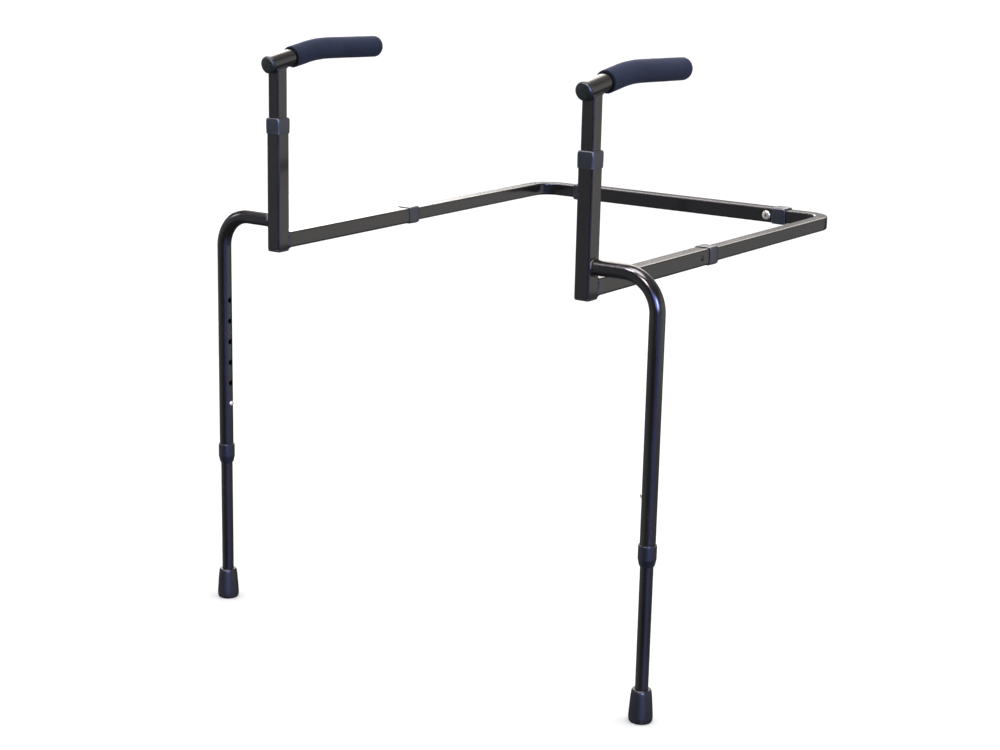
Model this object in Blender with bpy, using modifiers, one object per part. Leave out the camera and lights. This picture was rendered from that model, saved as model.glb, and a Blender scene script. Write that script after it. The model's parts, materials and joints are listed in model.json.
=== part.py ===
"""Toilet safety frame: two front posts with foam grips, two outrigger legs, and a
telescoping square U behind them.

Metres, +Z up. Origin on the floor under the middle of the whole frame. +X is the frame's
right as seen from the front, +Y runs back to the cistern.
Pieces are drawn with Y measured from the front posts, then all are moved forward together
by MIDDLE_Y.
"""

import math

import bmesh
import bpy
from mathutils import Matrix, Vector

MM = 0.001

MIDDLE_Y = 304.356 * MM  # middle of the whole frame, behind the front posts

# main frame
HALF_W = 241.5 * MM  # post centre line from the middle
REAR_Y = 619.0 * MM  # rear bar centre line behind the posts
ARM_Z = 521.0 * MM  # arm and rear bar centre line above the floor
LEG_X = 339.5 * MM  # leg centre line from the middle
LEG_TOP_Z = 547.0 * MM  # outrigger centre line above the floor
LEG_BEND_R = 45.0 * MM
CORNER_BEND_R = 32.0 * MM
BEND_STEPS = 8

# square tube: the inner slides in the outer
GAP = 0.3 * MM  # clearance between neighbouring pieces
SQUARE_WALL = 1.3 * MM
OUTER = 21.2 * MM
OUTER_BORE = OUTER - 2 * SQUARE_WALL
INNER = OUTER_BORE - 2 * GAP
INNER_BORE = INNER - 2 * SQUARE_WALL
OUTER_R = 2.6 * MM
OUTER_BORE_R = 1.5 * MM
INNER_R = 2.2 * MM
INNER_BORE_R = 0.9 * MM

# square ferrules
COLLAR = 23.8 * MM
COLLAR_R = 3.4 * MM
COLLAR_BORE = OUTER + 2 * GAP
COLLAR_BORE_R = 2.8 * MM
COLLAR_MOUTH = INNER + 2 * GAP
COLLAR_EDGE = 1.2 * MM
COLLAR_REACH = 3.0 * MM  # from the tube's end to the ferrule's mouth

# lock buttons and their holes
BUTTON_R = 3.3 * MM
ARM_BUTTON_R = 2.7 * MM
BUTTON_PLAY = 0.4 * MM
HOLE_R = BUTTON_R + BUTTON_PLAY
ARM_HOLE_R = ARM_BUTTON_R + BUTTON_PLAY
HOLE_PITCH = 29.0 * MM

# front post
POST_FOOT_Z = 506.5 * MM
PLUG_FLANGE = 3.0 * MM
PLUG_DEPTH = 14.0 * MM
PLUG_OVERLAP = 1.0 * MM  # how far the plug's stub sinks into its flange
PLUG_EDGE = 1.8 * MM
POST_TOP_Z = 680.0 * MM
POST_COLLAR_Z = 662.5 * MM
POST_BUTTON_Z = 596.0 * MM
POST_HOLES_Z = [POST_BUTTON_Z + n * HOLE_PITCH for n in (-1, 0, 1, 2)]
HANDLE_POST_LOW_Z = 576.0 * MM

# handle tube and grip, in the plane of the post
HANDLE_R = 11.0 * MM
HANDLE_BORE_R = 9.6 * MM
HANDLE_Z0 = 755.0 * MM  # centre line height over the post
HANDLE_RISE = math.radians(9.0)
HANDLE_FALL = math.radians(-2.3)
HANDLE_KNEE_Y = 78.0 * MM  # where the two straight runs would meet
HANDLE_BEND_R = 250.0 * MM
HANDLE_BEND_STEPS = 6
HANDLE_FRONT_Y = -16.0 * MM
HANDLE_END_Y = 197.0 * MM
SADDLE_REACH = 30.0 * MM  # half length of the cutter that saddles the post to the handle
FOAM_R = 14.0 * MM
FOAM_BORE_R = HANDLE_R + GAP
FOAM_FRONT_Y = 27.0 * MM
FOAM_END_Y = 205.0 * MM
FOAM_TIP_R = 7.0 * MM
FOAM_TIP_ANGLES = (20, 40, 60, 78, 90)

# arm and corner tube
ARM_FRONT_Y = OUTER * 0.5 + GAP
ARM_END_Y = 288.0 * MM
ARM_COLLAR_Y = 269.0 * MM
ARM_BUTTON_Y = 251.5 * MM
CORNER_FRONT_Y = 228.0 * MM
CORNER_END_X = 85.0 * MM

# rear bar
SLEEVE_HALF = 176.0 * MM
REAR_COLLAR_X = 158.5 * MM
SCREW_X = 150.0 * MM
SLOT_INNER_X = 100.0 * MM  # where the screw stands in the slot at full width
SLOT_OUTER_X = 175.0 * MM  # and at least width
SCREW_HEAD_R = 6.6 * MM
SCREW_HEAD_H = 3.2 * MM
SCREW_R = 2.5 * MM
SCREW_HOLE_R = 2.9 * MM
SOCKET = 4.2 * MM
SOCKET_R = 0.2 * MM
SOCKET_DEPTH = 1.6 * MM
NUT = 12.0 * MM
NUT_R = 0.8 * MM
NUT_T = 4.0 * MM
NUT_FRONT_Y = REAR_Y - INNER_BORE * 0.5 + GAP

# legs: the lower tube slides in the upper
LEG_WALL = 1.2 * MM
LEG_R = 9.5 * MM
LEG_BORE_R = LEG_R - LEG_WALL
LOWER_R = LEG_BORE_R - GAP
LOWER_BORE_R = LOWER_R - LEG_WALL
LEG_START_X = HALF_W + OUTER * 0.5 + GAP
LEG_END_Z = 204.0 * MM
LEG_BUTTON_Z = 283.0 * MM
LEG_HOLES_Z = [LEG_BUTTON_Z + n * HOLE_PITCH for n in range(6)]
LEG_HOLE_TWIST = 0.13  # keeps the cutter's facets out of line with the tube's
LEG_COLLAR_Z = 198.0 * MM
LEG_COLLAR_TOP_Z = 224.4 * MM
LEG_COLLAR_R = 11.2 * MM
LOWER_TOP_Z = 305.0 * MM
FOOT_FLOOR_Z = 4.5 * MM  # bottom of the foot tip's socket
WASHER_Z = FOOT_FLOOR_Z + GAP
WASHER_TOP_Z = 6.0 * MM
WASHER_R = 7.9 * MM
WASHER_HOLE_R = 3.0 * MM
LOWER_FOOT_Z = WASHER_TOP_Z + GAP

# how far cutters run past what they cut
BORE_OVERRUN = 10.0 * MM
COLLAR_OVERRUN = 4.0 * MM
NUT_OVERRUN = 3.0 * MM

# where hole cutters start and end: from the tube's centre line
OUTER_HOLE_SPAN = (6.0 * MM, 14.0 * MM)
INNER_HOLE_SPAN = (5.0 * MM, 12.0 * MM)
LEG_HOLE_SPAN = (4.8 * MM, 13.1 * MM)
LOWER_HOLE_SPAN = (4.0 * MM, 10.0 * MM)
# and from the front face of the rear sleeve or corner tube
SLEEVE_SCREW_SPAN = (-3.0 * MM, 4.0 * MM)
SLOT_SPAN = (-2.0 * MM, 3.0 * MM)

SIDES = (("L", -1), ("R", 1))
BACK = Vector((0, 1, 0))
UP = Vector((0, 0, 1))

# Turned outlines: radius and distance along the axis, in metres.
HANDLE_CAP_OUTLINE = [  # out from the tube's front end
    (0, -0.0122), (0.0088, -0.0122), (0.0093, -0.0110), (0.0093, GAP),
    (0.0112, GAP), (0.0115, 0.0014), (0.0113, 0.0028), (0.0102, 0.0040),
    (0.0078, 0.0050), (0.0042, 0.0056), (0, 0.0058),
]
FOOT_TIP_OUTLINE = [  # up from the floor
    (0, FOOT_FLOOR_Z), (LOWER_R + GAP, FOOT_FLOOR_Z), (LOWER_R + GAP, 0.0415),
    (0.0109, 0.0415), (0.0117, 0.0408), (0.0123, 0.0388), (0.0131, 0.0320),
    (0.0140, 0.0200), (0.0147, 0.0100), (0.0149, 0.0045), (0.0146, 0.0013),
    (0.0136, 0.0), (0, 0.0),
]
WASHER_OUTLINE = [  # up from the floor
    (WASHER_HOLE_R, WASHER_Z),
    (WASHER_HOLE_R, WASHER_TOP_Z),
    (WASHER_R, WASHER_TOP_Z),
    (WASHER_R, WASHER_Z),
]
LEG_COLLAR_OUTLINE = [  # up from the floor
    (LEG_R + GAP, LEG_COLLAR_TOP_Z),
    (LEG_COLLAR_R - 0.0004, LEG_COLLAR_TOP_Z),
    (LEG_COLLAR_R, LEG_COLLAR_TOP_Z - 0.0004),
    (LEG_COLLAR_R, LEG_COLLAR_TOP_Z - 0.0178),
    (LEG_COLLAR_R - 0.0006, LEG_COLLAR_TOP_Z - 0.0198),
    (LOWER_R + 0.0015, LEG_COLLAR_Z + 0.0008),
    (LOWER_R + 0.0010, LEG_COLLAR_Z),
    (LOWER_R + GAP, LEG_COLLAR_Z),
    (LOWER_R + GAP, LEG_END_Z - GAP),
    (LEG_R + GAP, LEG_END_Z - GAP),
]
SCREW_TIP = NUT_FRONT_Y - (REAR_Y - OUTER * 0.5) + NUT_T + 1.2 * MM
SCREW_OUTLINE = [  # forward from the sleeve's front face
    (0, -SCREW_TIP),
    (SCREW_R * 0.8, -SCREW_TIP),
    (SCREW_R, -SCREW_TIP + 0.0006),
    (SCREW_R, GAP),
    (SCREW_HEAD_R, GAP),
    (SCREW_HEAD_R, GAP + 0.0009),
    (SCREW_HEAD_R * 0.93, GAP + SCREW_HEAD_H * 0.55),
    (SCREW_HEAD_R * 0.74, GAP + SCREW_HEAD_H * 0.80),
    (SCREW_HEAD_R * 0.48, GAP + SCREW_HEAD_H * 0.94),
    (0, GAP + SCREW_HEAD_H),
]

FINISHES = {
    "powder_coat": dict(colour=(0.030, 0.030, 0.034), metallic=0.0, roughness=0.28),
    "ferrule": dict(colour=(0.035, 0.040, 0.055), metallic=0.0, roughness=0.42),
    "foam": dict(colour=(0.040, 0.045, 0.070), metallic=0.0, roughness=0.85),
    "plug": dict(colour=(0.025, 0.032, 0.030), metallic=0.0, roughness=0.40),
    "nickel": dict(colour=(0.72, 0.71, 0.69), metallic=1.0, roughness=0.22),
    "black_button": dict(colour=(0.020, 0.020, 0.022), metallic=0.0, roughness=0.35),
    "spring_steel": dict(colour=(0.42, 0.42, 0.43), metallic=1.0, roughness=0.35),
    "zinc": dict(colour=(0.60, 0.60, 0.58), metallic=1.0, roughness=0.38),
    "rubber": dict(colour=(0.025, 0.026, 0.034), metallic=0.0, roughness=0.70),
}

for old_object in list(bpy.data.objects):
    bpy.data.objects.remove(old_object, do_unlink=True)
for old_collection in list(bpy.data.collections):
    bpy.data.collections.remove(old_collection)

FRAME = bpy.data.collections.new("toilet_safety_frame")
CUTTERS = bpy.data.collections.new("cutters")
for collection in (FRAME, CUTTERS):
    bpy.context.scene.collection.children.link(collection)


# basic shapes, each returned as a bmesh


def place(shape, matrix):
    bmesh.ops.transform(shape, matrix=matrix, verts=shape.verts)
    return shape


def turn_to(direction, point):
    """Carries +Z at the origin to a direction at a point, keeping square sections level."""
    unit = Vector(direction).normalized()
    if abs(unit.z) > 0.999:
        turn = Matrix.Identity(4) if unit.z > 0 else Matrix.Rotation(math.pi, 4, "X")
    elif abs(unit.y) >= abs(unit.x):
        turn = Matrix.Rotation(math.atan2(-unit.y, unit.z), 4, "X")
    else:
        turn = Matrix.Rotation(math.atan2(unit.x, unit.z), 4, "Y")
    return Matrix.Translation(Vector(point)) @ turn


def bevel(shape, edges, offset, segments):
    bmesh.ops.bevel(
        shape,
        geom=edges,
        offset=offset,
        offset_type="OFFSET",
        segments=segments,
        profile=0.5,
        affect="EDGES",
    )


def square_bar(width, radius, start, end, edge=0.0, segments=3):
    """A bar of rounded square section from start to end, its far end edges eased by edge."""
    start, end = Vector(start), Vector(end)
    length = (end - start).length
    shape = bmesh.new()
    bmesh.ops.create_cube(shape, size=1.0)
    bmesh.ops.scale(shape, vec=(width, width, length), verts=shape.verts)
    long_edges = [
        e for e in shape.edges if abs(e.verts[0].co.z - e.verts[1].co.z) > length * 0.5
    ]
    bevel(shape, long_edges, radius, segments)
    if edge:
        rim = [
            e for e in shape.edges if all(v.co.z > length * 0.5 - 1e-7 for v in e.verts)
        ]
        bevel(shape, rim, edge, 2)
    bmesh.ops.translate(shape, vec=(0, 0, length * 0.5), verts=shape.verts)
    return place(shape, turn_to(end - start, start))


def round_bar(radius, start, end, segments=24, twist=0.0):
    """A cylinder from start to end, its facets turned about its axis by twist."""
    start, end = Vector(start), Vector(end)
    length = (end - start).length
    shape = bmesh.new()
    bmesh.ops.create_cone(
        shape,
        cap_ends=True,
        segments=segments,
        radius1=radius,
        radius2=radius,
        depth=length,
    )
    place(shape, Matrix.Rotation(twist, 4, "Z"))
    bmesh.ops.translate(shape, vec=(0, 0, length * 0.5), verts=shape.verts)
    return place(shape, turn_to(end - start, start))


def hole(radius, point, direction, span, twist=0.0):
    """A hole cutter along direction, its two ends given by span as distances from point."""
    point, direction = Vector(point), Vector(direction)
    near, far = span
    return round_bar(radius, point + direction * near, point + direction * far, 16, twist)


def turned(outline, direction, point, steps=24):
    """A solid turned from an outline that starts and ends on the axis, or closes on itself."""
    shape = bmesh.new()
    verts = [shape.verts.new((radius, 0.0, z)) for radius, z in outline]
    edges = [shape.edges.new(pair) for pair in zip(verts, verts[1:])]
    if outline[0][0] > 0:
        edges.append(shape.edges.new((verts[-1], verts[0])))
    bmesh.ops.spin(
        shape,
        geom=verts + edges,
        cent=(0, 0, 0),
        axis=(0, 0, 1),
        angle=2 * math.pi,
        steps=steps,
    )
    bmesh.ops.remove_doubles(shape, verts=shape.verts, dist=1e-7)
    bmesh.ops.dissolve_degenerate(shape, dist=1e-7, edges=shape.edges)
    bmesh.ops.recalc_face_normals(shape, faces=shape.faces)
    return place(shape, turn_to(direction, point))


def square_section(width, corner):
    """A curve object outlining a rounded square, to sweep along a path."""
    curve = bpy.data.curves.new("section", "CURVE")
    curve.dimensions = "2D"
    offset = width * 0.5 - corner
    outline = []
    for quarter, (x_sign, y_sign) in enumerate(((1, 1), (-1, 1), (-1, -1), (1, -1))):
        for step in range(4):
            angle = math.radians(90 * quarter + 30 * step)
            x = x_sign * offset + corner * math.cos(angle)
            y = y_sign * offset + corner * math.sin(angle)
            outline.append((x, y, 0.0, 1.0))
    ring = curve.splines.new("POLY")
    ring.points.add(len(outline) - 1)
    for point, position in zip(ring.points, outline):
        point.co = position
    ring.use_cyclic_u = True
    section = bpy.data.objects.new("section", curve)
    bpy.context.scene.collection.objects.link(section)
    return section


def swept(points, radius=None, width=None, corner=None, scales=None):
    """A bar swept along points: round of that radius, or a rounded square of that width.

    scales holds the section's scale at each point.
    """
    curve = bpy.data.curves.new("path", "CURVE")
    curve.dimensions = "3D"
    curve.twist_mode = "Z_UP" if width else "MINIMUM"
    curve.use_fill_caps = True
    spline = curve.splines.new("POLY")
    spline.points.add(len(points) - 1)
    for n, point in enumerate(points):
        spline.points[n].co = (*point, 1.0)
        spline.points[n].radius = scales[n] if scales else 1.0
    section = None
    if width:
        section = square_section(width, corner)
        curve.bevel_mode = "OBJECT"
        curve.bevel_object = section
    else:
        curve.bevel_mode = "ROUND"
        curve.bevel_depth = radius
        curve.bevel_resolution = 8
    holder = bpy.data.objects.new("path", curve)
    bpy.context.scene.collection.objects.link(holder)
    bpy.context.view_layer.update()
    graph = bpy.context.evaluated_depsgraph_get()
    mesh = bpy.data.meshes.new_from_object(holder.evaluated_get(graph))
    shape = bmesh.new()
    shape.from_mesh(mesh)
    bmesh.ops.remove_doubles(shape, verts=shape.verts, dist=1e-6)
    bmesh.ops.recalc_face_normals(shape, faces=shape.faces)
    bpy.data.objects.remove(holder, do_unlink=True)
    if section:
        bpy.data.objects.remove(section, do_unlink=True)
    bpy.data.meshes.remove(mesh)
    return shape


def merged(shapes):
    """Separate cutters as one mesh. They must not touch each other."""
    together = bmesh.new()
    for shape in shapes:
        mesh = bpy.data.meshes.new("piece")
        shape.to_mesh(mesh)
        shape.free()
        together.from_mesh(mesh)
        bpy.data.meshes.remove(mesh)
    return together


def quarter_bend(centre, radius, first, last):
    """Points on a quarter circle from the unit vector first round to last."""
    points = []
    for n in range(BEND_STEPS + 1):
        angle = math.radians(90 * n / BEND_STEPS)
        arm = math.cos(angle) * Vector(first) + math.sin(angle) * Vector(last)
        points.append(Vector(centre) + radius * arm)
    return points


# objects


def material(name, colour, metallic, roughness):
    made = bpy.data.materials.new(name)
    made.use_nodes = True
    inputs = made.node_tree.nodes["Principled BSDF"].inputs
    inputs["Base Color"].default_value = (*colour, 1.0)
    inputs["Metallic"].default_value = metallic
    inputs["Roughness"].default_value = roughness
    return made


def to_object(name, shape, collection, origin=(0, 0, 0)):
    mesh = bpy.data.meshes.new(name)
    bmesh.ops.translate(shape, vec=-Vector(origin), verts=shape.verts)
    shape.to_mesh(mesh)
    shape.free()
    made = bpy.data.objects.new(name, mesh)
    made.location = origin
    collection.objects.link(made)
    return made


def add_boolean(target, modifier_name, operation, tool_name, shape):
    """Joins a shape to the target, or cuts it out, through a hidden helper object."""
    tool = to_object(tool_name, shape, CUTTERS)
    tool.hide_render = True
    tool.display_type = "WIRE"
    modifier = target.modifiers.new(modifier_name, "BOOLEAN")
    modifier.operation = operation
    modifier.solver = "EXACT"
    modifier.object = tool


def piece(name, shape, finish, origin, cuts=(), smooth=False):
    """One piece of the frame, with a material of its own and a modifier for each cut."""
    made = to_object(name, shape, FRAME, origin)
    made.data.materials.append(material(name, **FINISHES[finish]))
    if smooth:
        made.data.shade_smooth()
        made.data.set_sharp_from_angle(angle=math.radians(40))
    for n, cut in enumerate(cuts):
        add_boolean(made, f"cut{n}", "DIFFERENCE", f"{name}_cut{n}", cut)
    return made


def square_ferrule(name, start, tube_end):
    """A ferrule over an outer tube, from start to its mouth just past the tube's end."""
    start, tube_end = Vector(start), Vector(tube_end)
    along = (tube_end - start).normalized()
    mouth = tube_end + along * COLLAR_REACH
    overrun = along * COLLAR_OVERRUN
    piece(
        name,
        square_bar(COLLAR, COLLAR_R, start, mouth, edge=COLLAR_EDGE),
        "ferrule",
        origin=mouth,
        cuts=[
            square_bar(COLLAR_BORE, COLLAR_BORE_R, start - overrun, tube_end + along * GAP),
            square_bar(COLLAR_MOUTH, OUTER_BORE_R, tube_end - overrun, mouth + overrun),
        ],
    )


def button(name, finish, direction, centre, stem, flange, low, tip):
    """A domed lock button on a flange.

    stem and flange are radii. low and tip are measured along its direction from centre.
    """
    dome = stem * 0.55
    flange_top = low + 0.9 * MM
    outline = [
        (0, low),
        (flange, low),
        (flange, flange_top),
        (stem, flange_top),
        (stem, tip - dome),
        (stem * 0.88, tip - dome * 0.48),
        (stem * 0.55, tip - dome * 0.14),
        (0, tip),
    ]
    shape = turned(outline, direction, centre, 16)
    piece(name, shape, finish, origin=centre, smooth=True)


def leaf_spring(name, centre, out, along, front, back, width):
    """A bent leaf spring: one arm behind the button's flange, a turn, one on the far wall.

    front and back are the two arms' places from centre in the button's direction, out.
    """
    centre, out, along = Vector(centre), Vector(out), Vector(along)
    across = out.cross(along)
    middle = (front + back) * 0.5
    half = (front - back) * 0.5
    turn_r = half * 0.62
    # distance out and distance along the tube, from the button's arm round to the other
    path = [(front, 0.0075), (front, -0.0055), (middle + half * 0.80, -0.0095)]
    for degrees in (0, 36, 72, 108, 144, 180):
        angle = math.radians(degrees)
        path.append(
            (middle + turn_r * math.cos(angle), -0.0115 - turn_r * math.sin(angle))
        )
    path += [(middle - half * 0.80, -0.0095), (back, -0.0035), (back, 0.0095)]
    shape = bmesh.new()
    row = [
        shape.verts.new(centre + out * a + along * b - across * (width * 0.5))
        for a, b in path
    ]
    edges = [shape.edges.new(pair) for pair in zip(row, row[1:])]
    sheet = bmesh.ops.extrude_edge_only(shape, edges=edges)
    bmesh.ops.translate(
        shape,
        vec=across * width,
        verts=[v for v in sheet["geom"] if isinstance(v, bmesh.types.BMVert)],
    )
    spring = piece(name, shape, "spring_steel", origin=centre)
    leaf = spring.modifiers.new("leaf", "SOLIDIFY")
    leaf.thickness = 0.5 * MM
    leaf.offset = 0.0
    leaf.use_even_offset = True


# the handle's centre line, in the plane of the post


def handle_bend():
    """The (y, z) points of the arc between the rising and the falling run."""
    turn = HANDLE_RISE - HANDLE_FALL
    tangent = HANDLE_BEND_R * math.tan(turn * 0.5)
    knee_z = HANDLE_Z0 + math.tan(HANDLE_RISE) * HANDLE_KNEE_Y
    start_y = HANDLE_KNEE_Y - tangent * math.cos(HANDLE_RISE)
    start_z = knee_z - tangent * math.sin(HANDLE_RISE)
    centre_y = start_y + HANDLE_BEND_R * math.sin(HANDLE_RISE)
    centre_z = start_z - HANDLE_BEND_R * math.cos(HANDLE_RISE)
    points = []
    for n in range(HANDLE_BEND_STEPS + 1):
        slope = HANDLE_RISE - turn * n / HANDLE_BEND_STEPS
        y = centre_y - HANDLE_BEND_R * math.sin(slope)
        z = centre_z + HANDLE_BEND_R * math.cos(slope)
        points.append((y, z))
    return points


HANDLE_BEND = handle_bend()
HANDLE_WAY = Vector((0, math.cos(HANDLE_RISE), math.sin(HANDLE_RISE)))  # of the rising run


def handle_point(x, y):
    """The centre line's point at y: on a straight run, or on a chord of the bend."""
    first_y = HANDLE_BEND[0][0]
    last_y, last_z = HANDLE_BEND[-1]
    if y <= first_y:
        return Vector((x, y, HANDLE_Z0 + math.tan(HANDLE_RISE) * y))
    if y >= last_y:
        return Vector((x, y, last_z + math.tan(HANDLE_FALL) * (y - last_y)))
    for (y0, z0), (y1, z1) in zip(HANDLE_BEND, HANDLE_BEND[1:]):
        if y <= y1:
            return Vector((x, y, z0 + (z1 - z0) * (y - y0) / (y1 - y0)))


def handle_path(x, start_y, end_y):
    """The centre line from start_y to end_y, without bend points crowding its ends."""
    margin = 3.0 * MM
    between = [
        Vector((x, y, z)) for y, z in HANDLE_BEND if start_y + margin < y < end_y - margin
    ]
    return [handle_point(x, start_y), *between, handle_point(x, end_y)]


# post


def post_outer_tube(side, post_x):
    piece(
        f"post_outer_tube_{side}",
        square_bar(
            OUTER,
            OUTER_R,
            (post_x, 0, POST_FOOT_Z + PLUG_FLANGE + GAP),
            (post_x, 0, POST_TOP_Z),
        ),
        "powder_coat",
        origin=(post_x, 0, POST_TOP_Z),
        cuts=[
            square_bar(
                OUTER_BORE,
                OUTER_BORE_R,
                (post_x, 0, POST_FOOT_Z - BORE_OVERRUN),
                (post_x, 0, POST_TOP_Z + BORE_OVERRUN),
            ),
            merged(hole(HOLE_R, (post_x, 0, z), BACK, OUTER_HOLE_SPAN) for z in POST_HOLES_Z),
        ],
    )


def post_bottom_plug(side, post_x):
    name = f"post_bottom_plug_{side}"
    flange_top = POST_FOOT_Z + PLUG_FLANGE
    foot = (post_x, 0, POST_FOOT_Z)
    flange = square_bar(OUTER, OUTER_R, (post_x, 0, flange_top), foot, edge=PLUG_EDGE)
    stub = square_bar(
        OUTER_BORE - 2 * GAP,
        OUTER_BORE_R,
        (post_x, 0, flange_top - PLUG_OVERLAP),
        (post_x, 0, flange_top + PLUG_DEPTH),
    )
    plug = piece(name, flange, "plug", origin=foot)
    add_boolean(plug, "stub", "UNION", f"{name}_stub", stub)


# handle


def handle_post(side, post_x):
    over_post = Vector((post_x, 0, HANDLE_Z0))
    saddle = HANDLE_WAY * SADDLE_REACH
    piece(
        f"handle_post_{side}",
        square_bar(
            INNER,
            INNER_R,
            (post_x, 0, HANDLE_POST_LOW_Z),
            (post_x, 0, HANDLE_Z0 - 0.5 * MM),
        ),
        "powder_coat",
        origin=(post_x, 0, POST_TOP_Z),
        cuts=[
            square_bar(
                INNER_BORE,
                INNER_BORE_R,
                (post_x, 0, HANDLE_POST_LOW_Z - BORE_OVERRUN),
                (post_x, 0, HANDLE_Z0 + BORE_OVERRUN),
            ),
            round_bar(HANDLE_R + GAP, over_post - saddle, over_post + saddle, 48),
            hole(HOLE_R, (post_x, 0, POST_BUTTON_Z), BACK, INNER_HOLE_SPAN),
        ],
    )


def handle_tube(side, post_x):
    bore_path = handle_path(
        post_x, HANDLE_FRONT_Y - BORE_OVERRUN, HANDLE_END_Y + BORE_OVERRUN
    )
    piece(
        f"handle_tube_{side}",
        swept(handle_path(post_x, HANDLE_FRONT_Y, HANDLE_END_Y), radius=HANDLE_R),
        "powder_coat",
        origin=(post_x, 0, HANDLE_Z0),
        cuts=[swept(bore_path, radius=HANDLE_BORE_R)],
        smooth=True,
    )


def handle_cap(side, post_x):
    """Plug in the handle tube's front end."""
    front = handle_point(post_x, HANDLE_FRONT_Y)
    shape = turned(HANDLE_CAP_OUTLINE, -HANDLE_WAY, front)
    piece(f"handle_cap_{side}", shape, "plug", origin=front, smooth=True)


def foam_grip(side, post_x):
    """Foam sleeve, rounded at its closed rear end."""
    tip_y = FOAM_END_Y - FOAM_TIP_R
    points = handle_path(post_x, FOAM_FRONT_Y, tip_y)
    scales = [1.0] * len(points)
    for degrees in FOAM_TIP_ANGLES:
        angle = math.radians(degrees)
        points.append(handle_point(post_x, tip_y + FOAM_TIP_R * math.sin(angle)))
        scales.append((FOAM_R - FOAM_TIP_R * (1 - math.cos(angle))) / FOAM_R)
    bore_path = handle_path(
        post_x, FOAM_FRONT_Y - BORE_OVERRUN, HANDLE_END_Y + 0.4 * MM
    )
    piece(
        f"foam_grip_{side}",
        swept(points, radius=FOAM_R, scales=scales),
        "foam",
        origin=handle_point(post_x, FOAM_FRONT_Y),
        cuts=[swept(bore_path, radius=FOAM_BORE_R)],
        smooth=True,
    )


# arm and corner


def arm_outer_tube(side, sign, post_x):
    piece(
        f"arm_outer_tube_{side}",
        square_bar(
            OUTER, OUTER_R, (post_x, ARM_FRONT_Y, ARM_Z), (post_x, ARM_END_Y, ARM_Z)
        ),
        "powder_coat",
        origin=(post_x, ARM_END_Y, ARM_Z),
        cuts=[
            square_bar(
                OUTER_BORE,
                OUTER_BORE_R,
                (post_x, ARM_FRONT_Y - BORE_OVERRUN, ARM_Z),
                (post_x, ARM_END_Y + BORE_OVERRUN, ARM_Z),
            ),
            hole(ARM_HOLE_R, (post_x, ARM_BUTTON_Y, ARM_Z), (sign, 0, 0), OUTER_HOLE_SPAN),
        ],
    )


def corner_path(sign, overrun=0.0):
    """From inside the arm round to inside the rear sleeve."""
    bend = quarter_bend(
        (sign * (HALF_W - CORNER_BEND_R), REAR_Y - CORNER_BEND_R, ARM_Z),
        CORNER_BEND_R,
        (sign, 0, 0),
        BACK,
    )
    return [
        Vector((sign * HALF_W, CORNER_FRONT_Y - overrun, ARM_Z)),
        *bend,
        Vector((sign * (CORNER_END_X - overrun), REAR_Y, ARM_Z)),
    ]


def corner_tube(side, sign, post_x):
    """Inner tube with a slot for the rear screw in its front wall."""
    wall_y = REAR_Y - INNER * 0.5
    slot_near, slot_far = SLOT_SPAN
    slot_ends = merged(
        hole(SCREW_HOLE_R, (sign * x, wall_y, ARM_Z), BACK, SLOT_SPAN)
        for x in (SLOT_INNER_X, SLOT_OUTER_X)
    )
    slot_middle = bmesh.new()
    bmesh.ops.create_cube(slot_middle, size=1.0)
    bmesh.ops.scale(
        slot_middle,
        vec=(SLOT_OUTER_X - SLOT_INNER_X, slot_far - slot_near, 2 * SCREW_HOLE_R),
        verts=slot_middle.verts,
    )
    bmesh.ops.translate(
        slot_middle,
        vec=(
            sign * (SLOT_OUTER_X + SLOT_INNER_X) * 0.5,
            wall_y + (slot_near + slot_far) * 0.5,
            ARM_Z,
        ),
        verts=slot_middle.verts,
    )
    piece(
        f"corner_tube_{side}",
        swept(corner_path(sign), width=INNER, corner=INNER_R),
        "powder_coat",
        origin=(post_x, REAR_Y, ARM_Z),
        cuts=[
            swept(corner_path(sign, BORE_OVERRUN), width=INNER_BORE, corner=INNER_BORE_R),
            slot_middle,
            slot_ends,
            hole(ARM_HOLE_R, (post_x, ARM_BUTTON_Y, ARM_Z), (sign, 0, 0), INNER_HOLE_SPAN),
        ],
    )


# rear bar


def rear_sleeve():
    bore_half = SLEEVE_HALF + BORE_OVERRUN
    front_y = REAR_Y - OUTER * 0.5
    piece(
        "rear_sleeve",
        square_bar(
            OUTER, OUTER_R, (-SLEEVE_HALF, REAR_Y, ARM_Z), (SLEEVE_HALF, REAR_Y, ARM_Z)
        ),
        "powder_coat",
        origin=(0, REAR_Y, ARM_Z),
        cuts=[
            square_bar(
                OUTER_BORE,
                OUTER_BORE_R,
                (-bore_half, REAR_Y, ARM_Z),
                (bore_half, REAR_Y, ARM_Z),
            ),
            merged(
                hole(SCREW_HOLE_R, (sign * SCREW_X, front_y, ARM_Z), BACK, SLEEVE_SCREW_SPAN)
                for _, sign in SIDES
            ),
        ],
    )


def rear_screw(side, sign):
    """Screw with a square socket, its head on the sleeve's front face."""
    seat = Vector((sign * SCREW_X, REAR_Y - OUTER * 0.5, ARM_Z))
    head_top = seat - BACK * (GAP + SCREW_HEAD_H)
    socket = square_bar(
        SOCKET,
        SOCKET_R,
        head_top - BACK * 2.0 * MM,
        head_top + BACK * SOCKET_DEPTH,
        segments=1,
    )
    piece(
        f"rear_screw_{side}",
        turned(SCREW_OUTLINE, -BACK, seat),
        "nickel",
        origin=seat,
        cuts=[socket],
        smooth=True,
    )


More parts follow.
